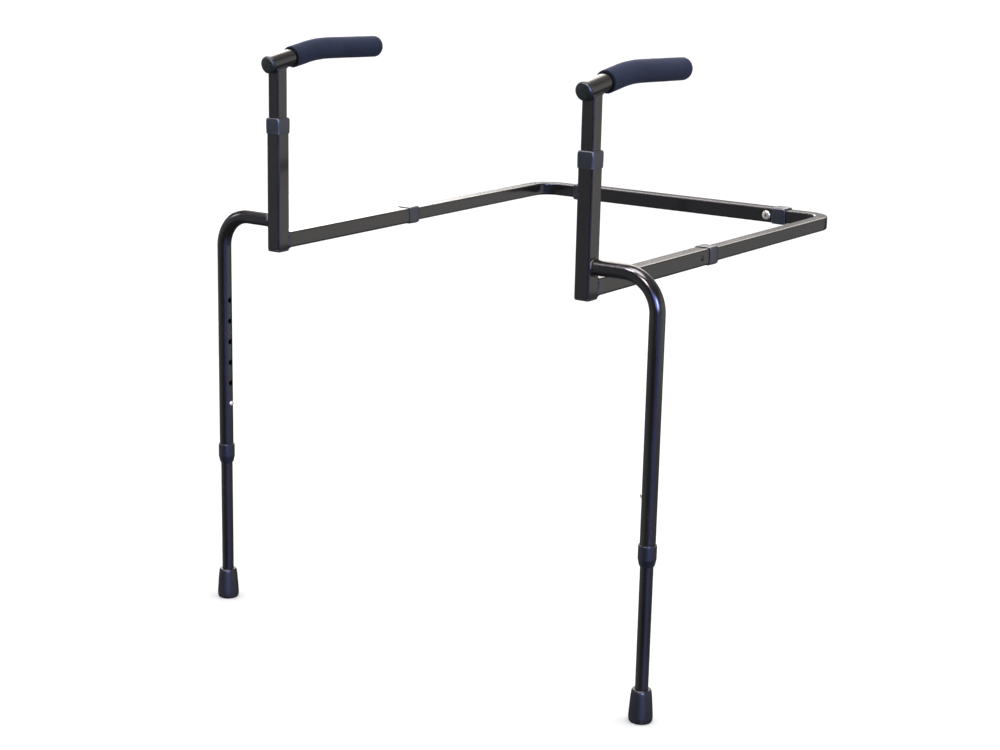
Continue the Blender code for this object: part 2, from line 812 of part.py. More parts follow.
def rear_nut(side, sign):
    """Square nut inside the corner tube."""
    x = sign * SCREW_X
    back_y = NUT_FRONT_Y + NUT_T
    front = (x, NUT_FRONT_Y, ARM_Z)
    piece(
        f"rear_nut_{side}",
        square_bar(NUT, NUT_R, front, (x, back_y, ARM_Z), segments=1),
        "zinc",
        origin=front,
        cuts=[
            round_bar(
                SCREW_R + GAP,
                (x, NUT_FRONT_Y - NUT_OVERRUN, ARM_Z),
                (x, back_y + NUT_OVERRUN, ARM_Z),
            )
        ],
    )


# leg


def leg_path(sign, overrun=0.0):
    """From beside the post outward, then down."""
    bend = quarter_bend(
        (sign * (LEG_X - LEG_BEND_R), 0, LEG_TOP_Z - LEG_BEND_R),
        LEG_BEND_R,
        UP,
        (sign, 0, 0),
    )
    return [
        Vector((sign * (LEG_START_X - overrun), 0, LEG_TOP_Z)),
        *bend,
        Vector((sign * LEG_X, 0, LEG_END_Z - overrun)),
    ]


def leg_hole(sign, z, span):
    """Hole cutter through the wall of the leg that faces the middle of the frame."""
    return hole(HOLE_R, (sign * LEG_X, 0, z), (-sign, 0, 0), span, LEG_HOLE_TWIST)


def leg_upper_tube(side, sign, leg_x):
    piece(
        f"leg_upper_tube_{side}",
        swept(leg_path(sign), radius=LEG_R),
        "powder_coat",
        origin=(leg_x, 0, LEG_END_Z),
        cuts=[
            swept(leg_path(sign, BORE_OVERRUN), radius=LEG_BORE_R),
            merged(leg_hole(sign, z, LEG_HOLE_SPAN) for z in LEG_HOLES_Z),
        ],
        smooth=True,
    )


def leg_lower_tube(side, sign, leg_x):
    top = (leg_x, 0, LOWER_TOP_Z)
    piece(
        f"leg_lower_tube_{side}",
        round_bar(LOWER_R, (leg_x, 0, LOWER_FOOT_Z), top),
        "powder_coat",
        origin=top,
        cuts=[
            round_bar(
                LOWER_BORE_R,
                (leg_x, 0, LOWER_FOOT_Z - BORE_OVERRUN),
                (leg_x, 0, LOWER_TOP_Z + BORE_OVERRUN),
            ),
            leg_hole(sign, LEG_BUTTON_Z, LOWER_HOLE_SPAN),
        ],
        smooth=True,
    )


def leg_fittings(side, leg_x):
    """The collar between the two tubes, the foot tip and the washer inside it."""
    axis = (leg_x, 0, 0)
    piece(
        f"leg_collar_{side}",
        turned(LEG_COLLAR_OUTLINE, UP, axis),
        "ferrule",
        origin=(leg_x, 0, LEG_COLLAR_TOP_Z),
        smooth=True,
    )
    foot = turned(FOOT_TIP_OUTLINE, UP, axis, 32)
    piece(f"foot_tip_{side}", foot, "rubber", origin=axis, smooth=True)
    washer = turned(WASHER_OUTLINE, UP, axis)
    piece(f"foot_washer_{side}", washer, "zinc", origin=(leg_x, 0, WASHER_Z))


# lock buttons and the leaf springs behind them


def post_lock(side, post_x):
    centre = (post_x, 0, POST_BUTTON_Z)
    button(
        f"post_button_{side}", "nickel", BACK, centre,
        stem=BUTTON_R, flange=4.6 * MM, low=5.8 * MM, tip=13.4 * MM,
    )
    leaf_spring(
        f"post_spring_{side}", centre, BACK, UP,
        front=5.2 * MM, back=-7.0 * MM, width=7.0 * MM,
    )


def arm_lock(side, sign, post_x):
    centre = (post_x, ARM_BUTTON_Y, ARM_Z)
    outward = (sign, 0, 0)
    button(
        f"arm_button_{side}", "black_button", outward, centre,
        stem=ARM_BUTTON_R, flange=4.4 * MM, low=5.8 * MM, tip=12.0 * MM,
    )
    leaf_spring(
        f"arm_spring_{side}", centre, outward, BACK,
        front=5.2 * MM, back=-7.0 * MM, width=7.0 * MM,
    )


def leg_lock(side, sign, leg_x):
    centre = (leg_x, 0, LEG_BUTTON_Z)
    inward = (-sign, 0, 0)
    button(
        f"leg_button_{side}", "nickel", inward, centre,
        stem=BUTTON_R, flange=4.2 * MM, low=3.9 * MM, tip=12.6 * MM,
    )
    leaf_spring(
        f"leg_spring_{side}", centre, inward, UP,
        front=3.3 * MM, back=-5.6 * MM, width=6.0 * MM,
    )


def build_side(side, sign):
    post_x = sign * HALF_W
    leg_x = sign * LEG_X

    post_outer_tube(side, post_x)
    post_bottom_plug(side, post_x)
    square_ferrule(
        f"post_collar_{side}", (post_x, 0, POST_COLLAR_Z), (post_x, 0, POST_TOP_Z)
    )

    handle_post(side, post_x)
    handle_tube(side, post_x)
    handle_cap(side, post_x)
    foam_grip(side, post_x)

    arm_outer_tube(side, sign, post_x)
    square_ferrule(
        f"arm_collar_{side}", (post_x, ARM_COLLAR_Y, ARM_Z), (post_x, ARM_END_Y, ARM_Z)
    )
    corner_tube(side, sign, post_x)

    square_ferrule(
        f"rear_collar_{side}",
        (sign * REAR_COLLAR_X, REAR_Y, ARM_Z),
        (sign * SLEEVE_HALF, REAR_Y, ARM_Z),
    )
    rear_screw(side, sign)
    rear_nut(side, sign)

    leg_upper_tube(side, sign, leg_x)
    leg_lower_tube(side, sign, leg_x)
    leg_fittings(side, leg_x)

    post_lock(side, post_x)
    arm_lock(side, sign, post_x)
    leg_lock(side, sign, leg_x)


rear_sleeve()
for side_name, side_sign in SIDES:
    build_side(side_name, side_sign)

for built in [*FRAME.objects, *CUTTERS.objects]:
    built.location.y -= MIDDLE_Y
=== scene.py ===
"""Toilet safety frame: fine surfaces, materials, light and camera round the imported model.

Metres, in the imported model's frame: Z up, +Y to the rear bar, side L at -X and side R at +X.
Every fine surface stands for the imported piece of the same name.
"""

import json
import math
from dataclasses import dataclass

import bmesh
import bpy
from mathutils import Matrix, Vector, noise
from mathutils.bvhtree import BVHTree
from mathutils.interpolate import poly_3d_calc

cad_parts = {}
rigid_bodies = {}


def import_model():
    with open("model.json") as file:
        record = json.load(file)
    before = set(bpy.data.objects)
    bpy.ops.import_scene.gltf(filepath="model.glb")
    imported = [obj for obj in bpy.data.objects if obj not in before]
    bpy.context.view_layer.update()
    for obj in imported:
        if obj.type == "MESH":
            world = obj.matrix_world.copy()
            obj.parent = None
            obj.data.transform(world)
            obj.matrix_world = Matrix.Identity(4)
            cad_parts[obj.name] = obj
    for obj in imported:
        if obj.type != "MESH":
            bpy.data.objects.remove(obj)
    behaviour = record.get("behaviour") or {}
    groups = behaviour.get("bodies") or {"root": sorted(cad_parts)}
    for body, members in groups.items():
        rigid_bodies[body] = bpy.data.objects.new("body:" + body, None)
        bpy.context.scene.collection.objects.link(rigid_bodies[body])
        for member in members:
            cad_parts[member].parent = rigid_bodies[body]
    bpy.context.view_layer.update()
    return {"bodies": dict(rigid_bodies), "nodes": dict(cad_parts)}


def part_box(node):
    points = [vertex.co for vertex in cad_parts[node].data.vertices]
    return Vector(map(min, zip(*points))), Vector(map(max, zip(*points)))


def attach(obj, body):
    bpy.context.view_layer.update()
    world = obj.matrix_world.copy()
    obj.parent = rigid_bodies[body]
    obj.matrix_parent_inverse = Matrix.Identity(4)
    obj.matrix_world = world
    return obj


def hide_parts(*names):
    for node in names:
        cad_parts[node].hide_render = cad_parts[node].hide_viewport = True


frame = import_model()
NODES = frame["nodes"]
BODY = {n: b for b, o in frame["bodies"].items() for n in NODES if NODES[n].parent is o}

MM = 0.001
SIDES = (("L", -1), ("R", 1))


def middle(node):
    low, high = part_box(node)
    return (low + high) * 0.5


# places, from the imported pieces
POST_X, POST_Y, _ = middle("post_outer_tube_R")
POST_LOW, POST_TOP = (v.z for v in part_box("post_outer_tube_R"))
ARM_Z = middle("rear_sleeve").z
REAR_Y = middle("rear_sleeve").y
SLEEVE_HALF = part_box("rear_sleeve")[1].x
SCREW_X = middle("rear_screw_R").x
LEG_X = middle("leg_lower_tube_R").x
LEG_LOW, LEG_HIGH = (v.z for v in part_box("leg_upper_tube_R"))
LOWER_LOW, LOWER_HIGH = (v.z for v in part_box("leg_lower_tube_R"))

# square tube stock: width over the flats and corner radius, outside and in the bore
OUTER, OUTER_CORNER = 21.2 * MM, 2.6 * MM
OUTER_BORE, OUTER_BORE_CORNER = 18.6 * MM, 1.5 * MM
INNER, INNER_CORNER = 18.0 * MM, 2.2 * MM
INNER_BORE, INNER_BORE_CORNER = 15.4 * MM, 0.9 * MM

# radii of the round stock and its bores
LEG_R, LEG_BORE_R = 9.5 * MM, 8.3 * MM
LOWER_R, LOWER_BORE_R = 8.0 * MM, 6.8 * MM
HANDLE_R, HANDLE_BORE_R = 11.0 * MM, 9.6 * MM
FOAM_R, FOAM_BORE_R = 14.0 * MM, 11.3 * MM
GAP = 0.3 * MM  # clearance between fitted pieces

# bends
LEG_TOP_Z = LEG_HIGH - LEG_R
LEG_BEND_R, CORNER_BEND_R = 45 * MM, 32 * MM

# holes and lock buttons
HOLE_R, ARM_HOLE_R, SCREW_HOLE_R = 3.7 * MM, 3.1 * MM, 2.9 * MM
HOLE_FLARE = 0.15 * MM
HOLE_PITCH = 29 * MM
POST_BUTTON_Z, LEG_BUTTON_Z = 596 * MM, 283 * MM
POST_HOLES_Z = [POST_BUTTON_Z + n * HOLE_PITCH for n in (-1, 0, 1, 2)]
LEG_HOLES_Z = [LEG_BUTTON_Z + n * HOLE_PITCH for n in range(6)]
ARM_BUTTON_Y = POST_Y + 251.5 * MM
SLOT_X, SLOT_LENGTH = 137.5 * MM, 75 * MM  # slot in each corner tube, without its round ends

# handle: rises from the post, bends over a knee and falls; its ends are distances behind the post
HANDLE_Z = 755 * MM
HANDLE_RISE, HANDLE_FALL = math.radians(9.0), math.radians(-2.3)
HANDLE_KNEE_Y, HANDLE_BEND_R = 78 * MM, 250 * MM
HANDLE_LINE_Y = 0.30
HANDLE_FRONT_Y, HANDLE_FAR_Y = -16 * MM, 197 * MM
HANDLE_WAY = Vector((0, math.cos(HANDLE_RISE), math.sin(HANDLE_RISE)))
GRIP_FRONT_Y, GRIP_FAR_Y = 27 * MM, 205 * MM

scene = bpy.context.scene
PARTS = scene.collection


# centre lines and outlines


@dataclass
class Run:
    """A straight run, or an arc where it has an inward direction."""

    begin: float
    start: Vector
    along: Vector
    length: float
    inward: Vector = None
    radius: float = 0.0

    def at(self, distance):
        t = distance - self.begin
        if self.inward is None:
            return self.start + self.along * t, self.along.copy()
        a = t / self.radius
        ahead, inside = self.radius * math.sin(a), self.radius * (1 - math.cos(a))
        return (
            self.start + self.along * ahead + self.inward * inside,
            self.along * math.cos(a) + self.inward * math.sin(a),
        )


class Line:
    """A centre line of straight runs joined by arcs, in one plane, read by distance along it."""

    def __init__(self, points, across, bend_radius=0.0):
        points = [Vector(p) for p in points]
        self.across = Vector(across).normalized()
        self.runs, self.length, start = [], 0.0, points[0]
        for before, corner, after in zip(points, points[1:], points[2:]):
            u, v = (corner - before).normalized(), (after - corner).normalized()
            turn = u.angle(v)
            back = bend_radius * math.tan(turn * 0.5)
            first = corner - u * back
            self.add(start, u, (first - start).length)
            inward = (v - u * u.dot(v)).normalized()
            self.add(first, u, bend_radius * turn, inward, bend_radius)
            start = corner + v * back
        rest = points[-1] - start
        self.add(start, rest.normalized(), rest.length)

    def add(self, start, along, length, *arc):
        self.runs.append(Run(self.length, start, along, length, *arc))
        self.length += length

    def at(self, distance):
        """The place and direction at a distance. Both end runs carry on past their ends."""
        here = self.runs[0]
        for run in self.runs:
            if distance >= run.begin:
                here = run
        return here.at(distance)

    def stations(self, low, high, step, turn=math.radians(2.5)):
        """Distances from low to high, closer together round the arcs."""
        out = [low]
        for run in self.runs:
            a = low if run is self.runs[0] else max(run.begin, low)
            b = high if run is self.runs[-1] else min(run.begin + run.length, high)
            if b <= a + 1e-7:
                continue
            pace = step if run.inward is None else min(step, run.radius * turn)
            count = max(1, int(math.ceil((b - a) / pace)))
            out += [a + (b - a) * k / count for k in range(1, count + 1)]
        return out

    def ring(self, distance, outline):
        place, along = self.at(distance)
        side = self.across.cross(along).normalized()
        return [place + side * a + self.across * b for a, b in outline]


def upright(x, low, high):
    return Line([(x, POST_Y, low), (x, POST_Y, high)], across=(0, 1, 0))


def around(count):
    return [2 * math.pi * k / count for k in range(count)]


def quarter(steps=4):
    return [math.radians(90) * k / steps for k in range(steps + 1)]


def circle(radius, count=64):
    return [(radius * math.cos(a), radius * math.sin(a)) for a in around(count)]


def square(side, corner, round_steps=7, flat=(0.03, 0.3, 0.7, 0.97)):
    """A rounded square. Its flats carry columns close to the corners, so that they shade flat."""
    corner = max(corner, 0.05 * MM)
    c = side * 0.5 - corner
    centres = ((c, c), (-c, c), (-c, -c), (c, -c))

    def on_corner(centre, a):
        return centre[0] + corner * math.cos(a), centre[1] + corner * math.sin(a)

    out = []
    for q in range(4):
        for k in range(round_steps + 1):
            out.append(on_corner(centres[q], math.radians(90) * (q + k / round_steps)))
        a = math.radians(90) * (q + 1)
        ax, ay = on_corner(centres[q], a)
        bx, by = on_corner(centres[(q + 1) % 4], a)
        out += [(ax + (bx - ax) * f, ay + (by - ay) * f) for f in flat]
    return out


WELD_STEPS = {"round_steps": 5, "flat": (0.2, 0.4, 0.6, 0.8)}  # columns of a square weld's path


def soften(profile, closed=False, steps=4):
    """The (r, z) points of a profile of (r, z, rounding), its corners rounded by up to that."""
    places = [Vector(p[:2]) for p in profile]
    count = len(places)
    out = []
    for n, (r, z, rounding) in enumerate(profile):
        if not closed and n in (0, count - 1):
            out.append((r, z))
            continue
        a, b, c = places[n - 1], places[n], places[(n + 1) % count]
        u, v = (a - b), (c - b)
        reach_u, reach_v = u.length, v.length
        u, v = u.normalized(), v.normalized()
        angle = u.angle(v)
        if rounding <= 0 or angle > math.radians(176):
            out.append(tuple(b))
            continue
        back = min(rounding / math.tan(angle * 0.5), 0.45 * reach_u, 0.45 * reach_v)
        for k in range(steps + 1):
            t = k / steps
            q = (b + u * back) * (1 - t) ** 2 + b * 2 * t * (1 - t) + (b + v * back) * t**2
            out.append(tuple(q))
    return out


def from_mm(profile):
    return [(r * MM, z * MM) for r, z in profile]


# mesh building


def bridge(bm, rows):
    for a, b in zip(rows, rows[1:]):
        for k in range(len(a)):
            j = (k + 1) % len(a)
            bm.faces.new((a[k], a[j], b[j], b[k]))


def loft(rings, closed=False):
    """A skin over rings of equal count, closed from last to first or capped at both ends."""
    bm = bmesh.new()
    rows = [[bm.verts.new(p) for p in ring] for ring in rings]
    bridge(bm, rows + [rows[0]] if closed else rows)
    if not closed:
        bm.faces.new(rows[0])
        bm.faces.new(rows[-1])
    bmesh.ops.recalc_face_normals(bm, faces=bm.faces)
    return bm


def tube(line, low, high, outer, inner, ease=0.3 * MM, step=5 * MM):
    """A hollow tube with eased ends. outer and inner give the outline grown by a distance."""
    start, stop = low + ease, high - ease
    mids = line.stations(start, stop, step)
    lip = [(ease * math.sin(a), ease * (1 - math.cos(a))) for a in quarter()]
    rings = [line.ring(start - out, outer(-lift)) for out, lift in reversed(lip)]
    rings += [line.ring(s, outer(0.0)) for s in mids[1:]]
    rings += [line.ring(stop + out, outer(-lift)) for out, lift in lip[1:]]
    rings += [line.ring(stop + out, inner(lift)) for out, lift in reversed(lip)]
    rings += [line.ring(s, inner(0.0)) for s in reversed(mids[:-1])]
    rings += [line.ring(start - out, inner(lift)) for out, lift in lip[1:]]
    return loft(rings, closed=True)


def square_stock(side, corner):
    return lambda grow: square(side + 2 * grow, corner + grow)


def round_stock(radius, count=64):
    return lambda grow: circle(radius + grow, count)


def outer_tube(line, step):
    outside = square_stock(OUTER, OUTER_CORNER)
    return tube(line, 0, line.length, outside, square_stock(OUTER_BORE, OUTER_BORE_CORNER), step=step)


def inner_tube(line, step):
    outside = square_stock(INNER, INNER_CORNER)
    return tube(line, 0, line.length, outside, square_stock(INNER_BORE, INNER_BORE_CORNER), step=step)


def round_tube(line, radius, bore_radius, step):
    return tube(
        line, 0, line.length, round_stock(radius, 72), round_stock(bore_radius, 72), step=step
    )


def turn_to(direction, point):
    """The transform that takes +Z to the direction and the origin to the point."""
    d = Vector(direction).normalized()
    return Matrix.Translation(Vector(point)) @ d.to_track_quat("Z", "Y").to_matrix().to_4x4()


def turned(profile, direction=(0, 0, 1), point=(0, 0, 0), steps=64):
    """A solid turned from (r, z) points that start and end on the axis, or close on themselves."""
    bm = bmesh.new()
    rows = []
    for r, z in profile:
        if r < 1e-9:
            rows.append([bm.verts.new((0, 0, z))])
        else:
            ring = [(r * math.cos(a), r * math.sin(a), z) for a in around(steps)]
            rows.append([bm.verts.new(p) for p in ring])
    if len(rows[0]) > 1:
        rows.append(rows[0])
    for a, b in zip(rows, rows[1:]):
        for k in range(steps):
            j = (k + 1) % steps
            if len(a) == 1:
                bm.faces.new((a[0], b[j], b[k]))
            elif len(b) == 1:
                bm.faces.new((a[k], a[j], b[0]))
            else:
                bm.faces.new((a[k], a[j], b[j], b[k]))
    bmesh.ops.recalc_face_normals(bm, faces=bm.faces)
    bmesh.ops.transform(bm, matrix=turn_to(direction, point), verts=bm.verts)
    return bm


def drill(radius, start, end, flare=0.0, count=40, twist=0.07):
    """A round cutter from start to end, widened by flare where it enters."""
    start, end = Vector(start), Vector(end)
    length = (end - start).length
    if flare:
        mouth = [(0, -2 * flare), (radius + 3 * flare, -2 * flare), (radius, flare)]
    else:
        mouth = [(0, 0), (radius, 0)]
    bm = turned([*mouth, (radius, length), (0, length)], steps=count)
    bmesh.ops.rotate(bm, matrix=Matrix.Rotation(twist, 3, "Z"), verts=bm.verts)
    bmesh.ops.transform(bm, matrix=turn_to(end - start, start), verts=bm.verts)
    return bm


def block(size):
    bm = bmesh.new()
    bmesh.ops.create_cube(bm, size=1.0)
    bmesh.ops.scale(bm, vec=size, verts=bm.verts)
    return bm


def to_mesh(name, bm):
    mesh = bpy.data.meshes.new(name)
    bm.to_mesh(mesh)
    bm.free()
    return mesh


def cut(name, whole, cutters):
    """A copy of the mesh with the cutters taken out of it."""
    body = bpy.data.objects.new(name, whole)
    PARTS.objects.link(body)
    tools = []
    for cutter in cutters:
        tool = bpy.data.objects.new("cutter", to_mesh("cutter", cutter))
        PARTS.objects.link(tool)
        tools.append(tool)
        boolean = body.modifiers.new("cut", "BOOLEAN")
        boolean.operation, boolean.solver, boolean.object = "DIFFERENCE", "EXACT", tool
    bpy.context.view_layer.update()
    graph = bpy.context.evaluated_depsgraph_get()
    mesh = bpy.data.meshes.new_from_object(body.evaluated_get(graph))
    for o in [body, *tools]:
        bpy.data.objects.remove(o, do_unlink=True)
    return mesh


def machined(name, bm, cutters):
    """bm less the cutters. It keeps the uncut skin's smooth shading right up to the holes."""
    whole = to_mesh(name, bm)
    whole.shade_smooth()
    mesh = cut(name, whole, cutters)
    corners = [tuple(p.vertices) for p in whole.polygons]
    places = [v.co.copy() for v in whole.vertices]
    normals = [v.normal.copy() for v in whole.vertices]
    tree = BVHTree.FromPolygons(places, corners)
    known = {}

    def skin_normal(index):
        """The uncut skin's smooth normal at a vertex, or None away from the skin."""
        if index not in known:
            co = mesh.vertices[index].co
            _, _, face, far = tree.find_nearest(co)
            if far > 2e-5:
                known[index] = None
            else:
                ring = corners[face]
                total = Vector((0, 0, 0))
                for k, share in zip(ring, poly_3d_calc([places[k] for k in ring], co)):
                    total += normals[k] * share
                known[index] = total.normalized()
        return known[index]

    mesh.shade_smooth()
    split = [None] * len(mesh.loops)
    for p in mesh.polygons:
        _, normal, _, far = tree.find_nearest(p.center)
        on_skin = far < 4e-5 and normal.dot(p.normal) > 0.85
        for k in p.loop_indices:
            n = skin_normal(mesh.loops[k].vertex_index) if on_skin else None
            split[k] = n if n is not None and n.dot(p.normal) > 0.3 else p.normal.copy()
    mesh.normals_split_custom_set(split)
    bpy.data.meshes.remove(whole)
    return mesh


def show(name, shape, look, body, weighted=True):
    """Adds a surface that rides on a body. A ready mesh keeps its own normals."""
    ready = isinstance(shape, bpy.types.Mesh)
    mesh = shape if ready else to_mesh(name, shape)
    if not ready:
        mesh.shade_smooth()
    o = bpy.data.objects.new(name, mesh)
    PARTS.objects.link(o)
    if weighted and not ready:
        flats = o.modifiers.new("flats", "WEIGHTED_NORMAL")
        flats.weight = 60
        flats.keep_sharp = True
    mesh.materials.clear()
    mesh.materials.append(MATERIALS[look])
    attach(o, body)
    return o


def stand_in(node, shape, look, weighted=True):
    """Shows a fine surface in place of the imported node."""
    o = show(f"{node}_surface", shape, look, BODY[node], weighted)
    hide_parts(node)


# shader graphs


class Graph:
    """A node tree, with its nodes added by kind. An input takes a value or another's output."""

    def __init__(self, tree):
        self.tree = tree

    def add(self, kind, inputs=None, **settings):
        node = self.tree.nodes.new(kind)
        for key, value in settings.items():
            setattr(node, key, value)
        for key, value in (inputs or {}).items():
            self.feed(node.inputs[key], value)
        return node

    def feed(self, socket, value):
        if isinstance(value, bpy.types.NodeSocket):
            self.tree.links.new(value, socket)
        else:
            socket.default_value = value

    def spread(self, source, reads, gives, smooth=False):
        """Takes one range of values to another."""
        inputs = {"From Min": reads[0], "From Max": reads[1]}
        inputs |= {"To Min": gives[0], "To Max": gives[1], "Value": source}
        ease = "SMOOTHSTEP" if smooth else "LINEAR"
        return self.add("ShaderNodeMapRange", inputs, interpolation_type=ease).outputs["Result"]

    def combine(self, operation, a, b):
        return self.add("ShaderNodeMath", {0: a, 1: b}, operation=operation).outputs[0]

    def times(self, a, b):
        return self.combine("MULTIPLY", a, b)

    def plus(self, a, b):
        return self.combine("ADD", a, b)


MATERIALS = {}
MID = (0.3, 0.7)  # the range in which a noise mostly lies


def scaled(tone, factor):
    return [c * factor for c in tone]


class Look(Graph):
    """A material on a Principled shader, textured in object space."""

    def __init__(self, name):
        material = bpy.data.materials.new(name)
        material.use_nodes = True
        super().__init__(material.node_tree)
        MATERIALS[name] = material
        self.shader = self.tree.nodes["Principled BSDF"]
        self.place = self.add("ShaderNodeTexCoord").outputs["Object"]

    def noise(self, scale, detail=3.0, roughness=0.5, stretch=(1, 1, 1), shift=0.0):
        inputs = {"Scale": scale, "Detail": detail, "Roughness": roughness}
        node = self.add("ShaderNodeTexNoise", inputs)
        source = self.place
        if shift:
            inputs = {"Scale": stretch, "Location": (shift, shift * 0.7, -shift)}
            mapping = self.add("ShaderNodeMapping", inputs | {"Vector": self.place})
            source = mapping.outputs["Vector"]
        self.feed(node.inputs["Vector"], source)
        return node.outputs["Fac"]

    def cells(self, scale):
        """The distance to the nearest of many scattered points."""
        inputs = {"Scale": scale, "Vector": self.place}
        return self.add("ShaderNodeTexVoronoi", inputs).outputs["Distance"]

    def ramp(self, source, stops):
        """Colours a value by (position, colour) stops."""
        node = self.add("ShaderNodeValToRGB", {"Fac": source})
        elements = node.color_ramp.elements
        while len(elements) < len(stops):
            elements.new(0.5)
        for k, (position, colour) in enumerate(stops):
            elements[k].position = position
            elements[k].color = (*colour, 1.0)
        return node.outputs["Color"]

    def tint(self, colour, share, tone):
        """The colour, moved towards the tone by the share."""
        inputs = {0: share, 6: colour, 7: (*tone, 1.0)}
        return self.add("ShaderNodeMix", data_type="RGBA", inputs=inputs).outputs[2]

    def bump(self, height, strength, distance, under=None):
        inputs = {"Strength": strength, "Distance": distance, "Height": height}
        if under is not None:
            inputs["Normal"] = under
        return self.add("ShaderNodeBump", inputs).outputs["Normal"]

    def edges(self):
        """Grows from 0 to 1 on outer edges."""
        pointiness = self.add("ShaderNodeNewGeometry").outputs["Pointiness"]
        return self.spread(pointiness, reads=(0.505, 0.56), gives=(0.0, 1.0), smooth=True)

    def recess_shade(self, distance):
        """Grows from 0 to 1 inside narrow recesses; it masks painted shade."""
        inputs = {"Distance": distance}
        node = self.add("ShaderNodeAmbientOcclusion", inputs, samples=8, only_local=True)
        return self.spread(node.outputs["AO"], reads=(0.45, 0.85), gives=(1.0, 0.0), smooth=True)

    def set(self, **values):
        for key, value in values.items():
            self.feed(self.shader.inputs[key.replace("_", " ")], value)


# materials


def powder_coat(key):
    tone, roughness = (0.0125, 0.0118, 0.0118), 0.20
    m = Look(key)
    broad = m.noise(scale=9.0, roughness=0.55)
    fine = m.noise(scale=260.0, detail=4.0, roughness=0.6, shift=3.0)
    specks = m.spread(m.cells(scale=420.0), reads=(0.0, 0.12), gives=(1.0, 0.0), smooth=True)
    warm = [c * gain for c, gain in zip(tone, (1.5, 1.32, 1.12))]
    colour = m.ramp(broad, [(0.30, scaled(tone, 0.78)), (0.52, tone), (0.75, warm)])
    colour = m.tint(colour, share=m.times(specks, 0.10), tone=(0.12, 0.115, 0.11))
    worn = m.times(m.edges(), m.spread(fine, reads=(0.45, 0.70), gives=(0.0, 0.22)))
    colour = m.tint(colour, share=worn, tone=(0.075, 0.072, 0.070))
    rough = m.plus(
        m.spread(broad, reads=MID, gives=(roughness * 0.8, roughness * 1.25)),
        m.spread(fine, reads=(0.3, 0.8), gives=(-0.02, 0.06)),
    )
    # fine and broad orange peel
    height = m.noise(scale=620.0, detail=2.0, roughness=0.45, shift=7.0)
    peel = m.bump(height, strength=0.045, distance=0.00012)
    height = m.noise(scale=150.0, detail=2.0, roughness=0.4, shift=1.0)
    peel = m.bump(height, strength=0.045, distance=0.00030, under=peel)
    m.set(
        Base_Color=colour,
        Roughness=rough,
        Normal=peel,
        Specular_IOR_Level=0.34,
        Coat_Weight=0.60,
        Coat_Roughness=0.06,
        Coat_IOR=1.5,
    )


def moulded(key, tone, edge_highlight, roughness, level=0.5, coat=0.0):
    """Grained plastic, with a painted highlight paling its edges."""
    m = Look(key)
    broad = m.noise(scale=35.0)
    grain = m.noise(scale=1500.0, roughness=0.6, shift=2.0)
    colour = m.ramp(broad, [(0.30, scaled(tone, 0.80)), (0.70, scaled(tone, 1.22))])
    # painted highlight: outer edges paled towards a light tone
    colour = m.tint(colour, share=m.times(m.edges(), 0.55), tone=edge_highlight)
    rough = m.plus(
        m.spread(broad, reads=MID, gives=(roughness * 0.88, roughness * 1.15)),
        m.spread(grain, reads=MID, gives=(-0.04, 0.05)),
    )
    m.set(
        Base_Color=colour,
        Roughness=rough,
        Normal=m.bump(grain, strength=0.35, distance=0.00008),
        Specular_IOR_Level=level,
        Coat_Weight=coat,
        Coat_Roughness=0.14,
    )


def foam(key):
    """Dark blue foam: large pores darkened by painted shade, and paler skin between small ones."""
    m = Look(key)
    pores = m.cells(scale=820.0)
    small = m.cells(scale=1750.0)
    broad = m.noise(scale=24.0, detail=4.0, roughness=0.6)
    tones = [
        (0.28, (0.010, 0.014, 0.033)),
        (0.50, (0.014, 0.020, 0.044)),
        (0.74, (0.021, 0.028, 0.055)),
    ]
    colour = m.ramp(broad, tones)
    # painted shade: darkening inside the large pores
    pore_shade = m.spread(pores, reads=(0.0, 0.42), gives=(1.0, 0.0), smooth=True)
    colour = m.tint(colour, share=m.times(pore_shade, 0.42), tone=(0.006, 0.007, 0.014))
    skin = m.spread(small, reads=(0.30, 0.75), gives=(0.0, 0.35), smooth=True)
    colour = m.tint(colour, share=skin, tone=(0.034, 0.039, 0.062))
    height = m.plus(m.times(pores, 1.0), m.times(small, 0.45))
    m.set(
        Base_Color=colour,
        Roughness=m.spread(broad, reads=MID, gives=(0.80, 0.92)),
        Normal=m.bump(height, strength=0.55, distance=0.00035),
        Specular_IOR_Level=0.20,
        Sheen_Weight=0.07,
        Sheen_Roughness=0.5,
        Sheen_Tint=(0.70, 0.76, 1.0, 1.0),
    )


def rubber(key):
    """Dark rubber, scuffed near the floor, with a painted highlight on its edges."""
    m = Look(key)
    broad = m.noise(scale=40.0, detail=4.0, roughness=0.6)
    grit = m.noise(scale=1300.0, roughness=0.6, shift=5.0)
    height = m.add("ShaderNodeSeparateXYZ", {0: m.place}).outputs["Z"]
    low = m.spread(height, reads=(0.001, 0.011), gives=(1.0, 0.0), smooth=True)
    tones = [(0.30, (0.0062, 0.0066, 0.0105)), (0.70, (0.0120, 0.0125, 0.0180))]
    colour = m.ramp(broad, tones)
    marks = m.noise(scale=180.0, detail=5.0, roughness=0.7, shift=9.0)
    scuff = m.times(low, m.spread(marks, reads=(0.48, 0.72), gives=(0.0, 0.6)))
    colour = m.tint(colour, share=scuff, tone=(0.085, 0.083, 0.080))
    # painted highlight: outer edges paled
    colour = m.tint(colour, share=m.times(m.edges(), 0.55), tone=(0.150, 0.155, 0.175))
    m.set(
        Base_Color=colour,
        Roughness=m.plus(m.spread(broad, reads=MID, gives=(0.46, 0.58)), m.times(scuff, 0.3)),
        Normal=m.bump(grit, strength=0.35, distance=0.00010),
        Specular_IOR_Level=0.30,
        Coat_Weight=0.30,
        Coat_Roughness=0.20,
    )


